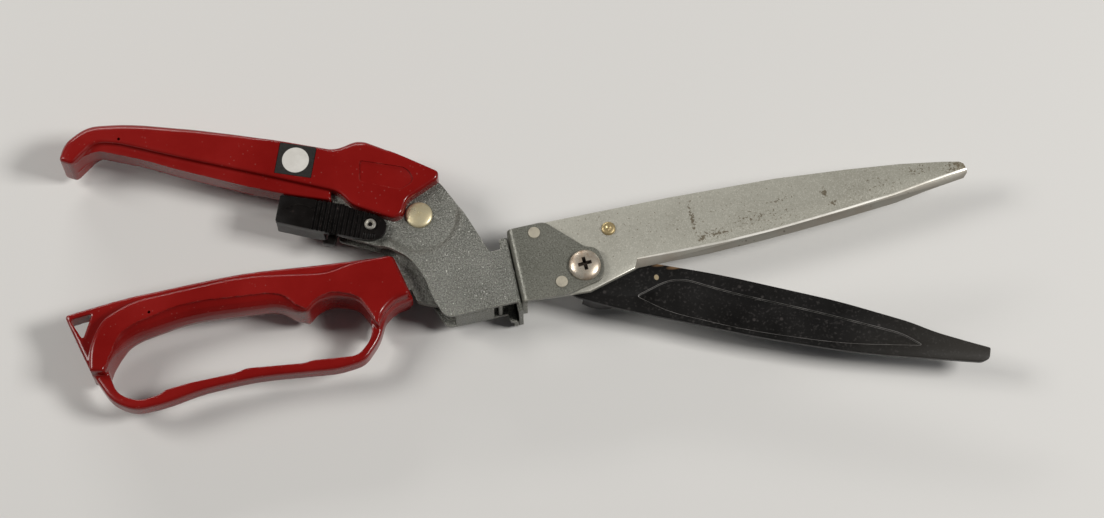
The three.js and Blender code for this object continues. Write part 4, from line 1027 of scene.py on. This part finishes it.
LOWER_BLADE = [
    (-7.6, -4, 3), (-2.4, -10.6, 3), (15.6, -11.2, 4), (42, -10.3, 8), (68.5, -9.5, 10),
    (103.1, -6.7, 12), (144.9, 0.4, 1.2), (147.4, 2.6, 0.9), (147, 6.4, 0.7), (139, 6.7, 3),
    (126.5, 7.4, 4), (117.4, 8.9, 4), (90.6, 10.4, 8), (47.5, 10, 10), (24, 8.4, 3),
    (9, 7.6, 3), (3, 17, 3), (-0.2, 19.4, 2.5), (-3.6, 14, 2.5), (-7.8, 4, 3),
]
PANEL = [
    (20.4, -5.2, 1.4), (33, -8.2, 7), (62, -8.2, 12), (96, -4.8, 12), (123.4, 1.4, 1.6),
    (115, 4, 5), (84, 4.6, 10), (53, 4.2, 10), (32, 5.4, 7),
]
moving = prism(LOWER_BLADE, LOWER_LOW, LOWER_TOP)
moving.transform(to_blade)
PANEL_DEPTH = 0.85
panel = prism(PANEL, LOWER_TOP - PANEL_DEPTH, LOWER_TOP + 2 * PAST)
panel.transform(to_blade)
settle("lower_blade_coated", moving, "moving_blade",
       [black_coating, panel_rim_highlight], ["lower_blade"], [
    eased(0.4, 40),
    boolean(panel),
    # the panel's eased rim takes the painted highlight
    eased(0.38, 60, segments=2, material=1),
], sharp=30)

# ---------------------------------------------------------------- spring hub
# Under the moving blade a black plastic cup covers the return spring and the nut.

HUB_PLAN = [
    (-7.8, -4, 4), (-2, -8.4, 4), (6, -10.4, 4), (14, -8, 5), (16.2, 0, 5), (14, 7, 5),
    (6, 9.4, 4), (-2, 8, 4), (-7.8, 4, 4),
]
HUB_LOW, HUB_HIGH = -7.5, 0.8
POCKET_TOP = -0.8
below = HUB_LOW - 1.5 * PAST
hub = prism(HUB_PLAN, HUB_LOW, HUB_HIGH)
hub.transform(to_blade)
pocket = bmesh.new()
turned(pocket, [(0, below), (6.4, below), (6.4, POCKET_TOP), (4.2, POCKET_TOP), (4.2, 2),
                (0, 2)], BLADE_PIVOT)
leg_window = prism([(-12, -9), (0, -9), (0, 4.5), (-12, 4.5)], below, POCKET_TOP)
leg_window.transform(standing_at(BLADE_PIVOT))
settle("spring_hub_cup", hub, "moving_blade", [black_plastic],
       ["spring_hub"], [
    boolean(pocket),
    boolean(leg_window),
    eased(0.5, 50),
], sharp=30)

# ---------------------------------------------------------------- inner pieces
# The tang, rod, yoke, bushes, spring and washers keep their own shapes and get their real
# finishes: grey paint on the tang, zinc on the turned parts, plain wire on the spring.

inner_zinc = plated("inner_zinc", (0.46, 0.44, 0.38, 1), (0.24, 0.2, 0.15, 1), 0.3, 0.8, 0.3)
spring_wire = plated("spring_wire", (0.26, 0.25, 0.24, 1), (0.16, 0.11, 0.07, 1), 0.2, 0.9, 0.3)
INNER = {
    frame_paint: ["handle_tang"],
    spring_wire: ["return_spring"],
    inner_zinc: [
        "near_pivot_washer", "far_pivot_washer", "clevis_pin", "pull_rod", "rod_clip",
        "swivel_bush", "swivel_washer", "pivot_bush", "pivot_washer", "pivot_nut", "yoke",
        "drive_pin"],
}
for material, nodes in INNER.items():
    for name in nodes:
        cad_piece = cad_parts[name]
        cad_piece.data.materials.clear()
        cad_piece.data.materials.append(material)

# ---------------------------------------------------------------- floor, light, camera
# The shears lie on a plain pale table under soft light: a panel to the back left, a low
# strip behind that draws the far edges, and a smaller panel to the front right.

floor_finish, tree, shader = finish("pale_table")
shader.inputs["Base Color"].default_value = (0.62, 0.61, 0.59, 1)
shader.inputs["Roughness"].default_value = 0.85
TABLE_HALF = 3  # in metres, as the lights and the camera are
table = bmesh.new()
bmesh.ops.create_grid(table, x_segments=1, y_segments=1, size=TABLE_HALF)
table_mesh = bpy.data.meshes.new("table_top")
table.to_mesh(table_mesh)
table.free()
table_mesh.materials.append(floor_finish)
table_top = bpy.data.objects.new("table_top", table_mesh)
bpy.context.scene.collection.objects.link(table_top)

world = bpy.data.worlds.new("soft_room")
world.use_nodes = True
sky = world.node_tree.nodes["Background"]
sky.inputs["Color"].default_value = (0.9, 0.93, 1, 1)
sky.inputs["Strength"].default_value = 0.07
bpy.context.scene.world = world


def panel_light(name, place, width, height, power, colour):
    """Rectangular soft light that points at the middle of the table."""
    data = bpy.data.lights.new(name, "AREA")
    data.shape = "RECTANGLE"
    data.size, data.size_y = width, height
    data.energy = power
    data.color = colour
    lamp = bpy.data.objects.new(name, data)
    lamp.location = place
    lamp.rotation_euler = (-Vector(place)).to_track_quat("-Z", "Y").to_euler()
    bpy.context.scene.collection.objects.link(lamp)


panel_light("back_left", (-0.85, 0.35, 0.9), 0.5, 0.5, 8, (1, 0.98, 0.95))
panel_light("behind", (-0.2, 1.3, 0.5), 0.9, 0.15, 6, (1, 0.98, 0.96))
panel_light("front_right", (0.85, -0.3, 0.95), 0.35, 0.35, 13, (1, 0.99, 0.97))
bpy.context.scene.view_settings.view_transform = "Standard"

TILT, HEADING = 20, -12  # degrees, from looking straight down and from square on
camera_data = bpy.data.cameras.new("camera")
camera_data.lens = 99.46
camera_data.sensor_width = 36
camera_data.clip_start = 0.05
camera = bpy.data.objects.new("camera", camera_data)
camera.location = (-0.0675, -0.3735, 1.0453)
camera.rotation_euler = (math.radians(TILT), 0, math.radians(HEADING))
bpy.context.scene.collection.objects.link(camera)
bpy.context.scene.camera = camera
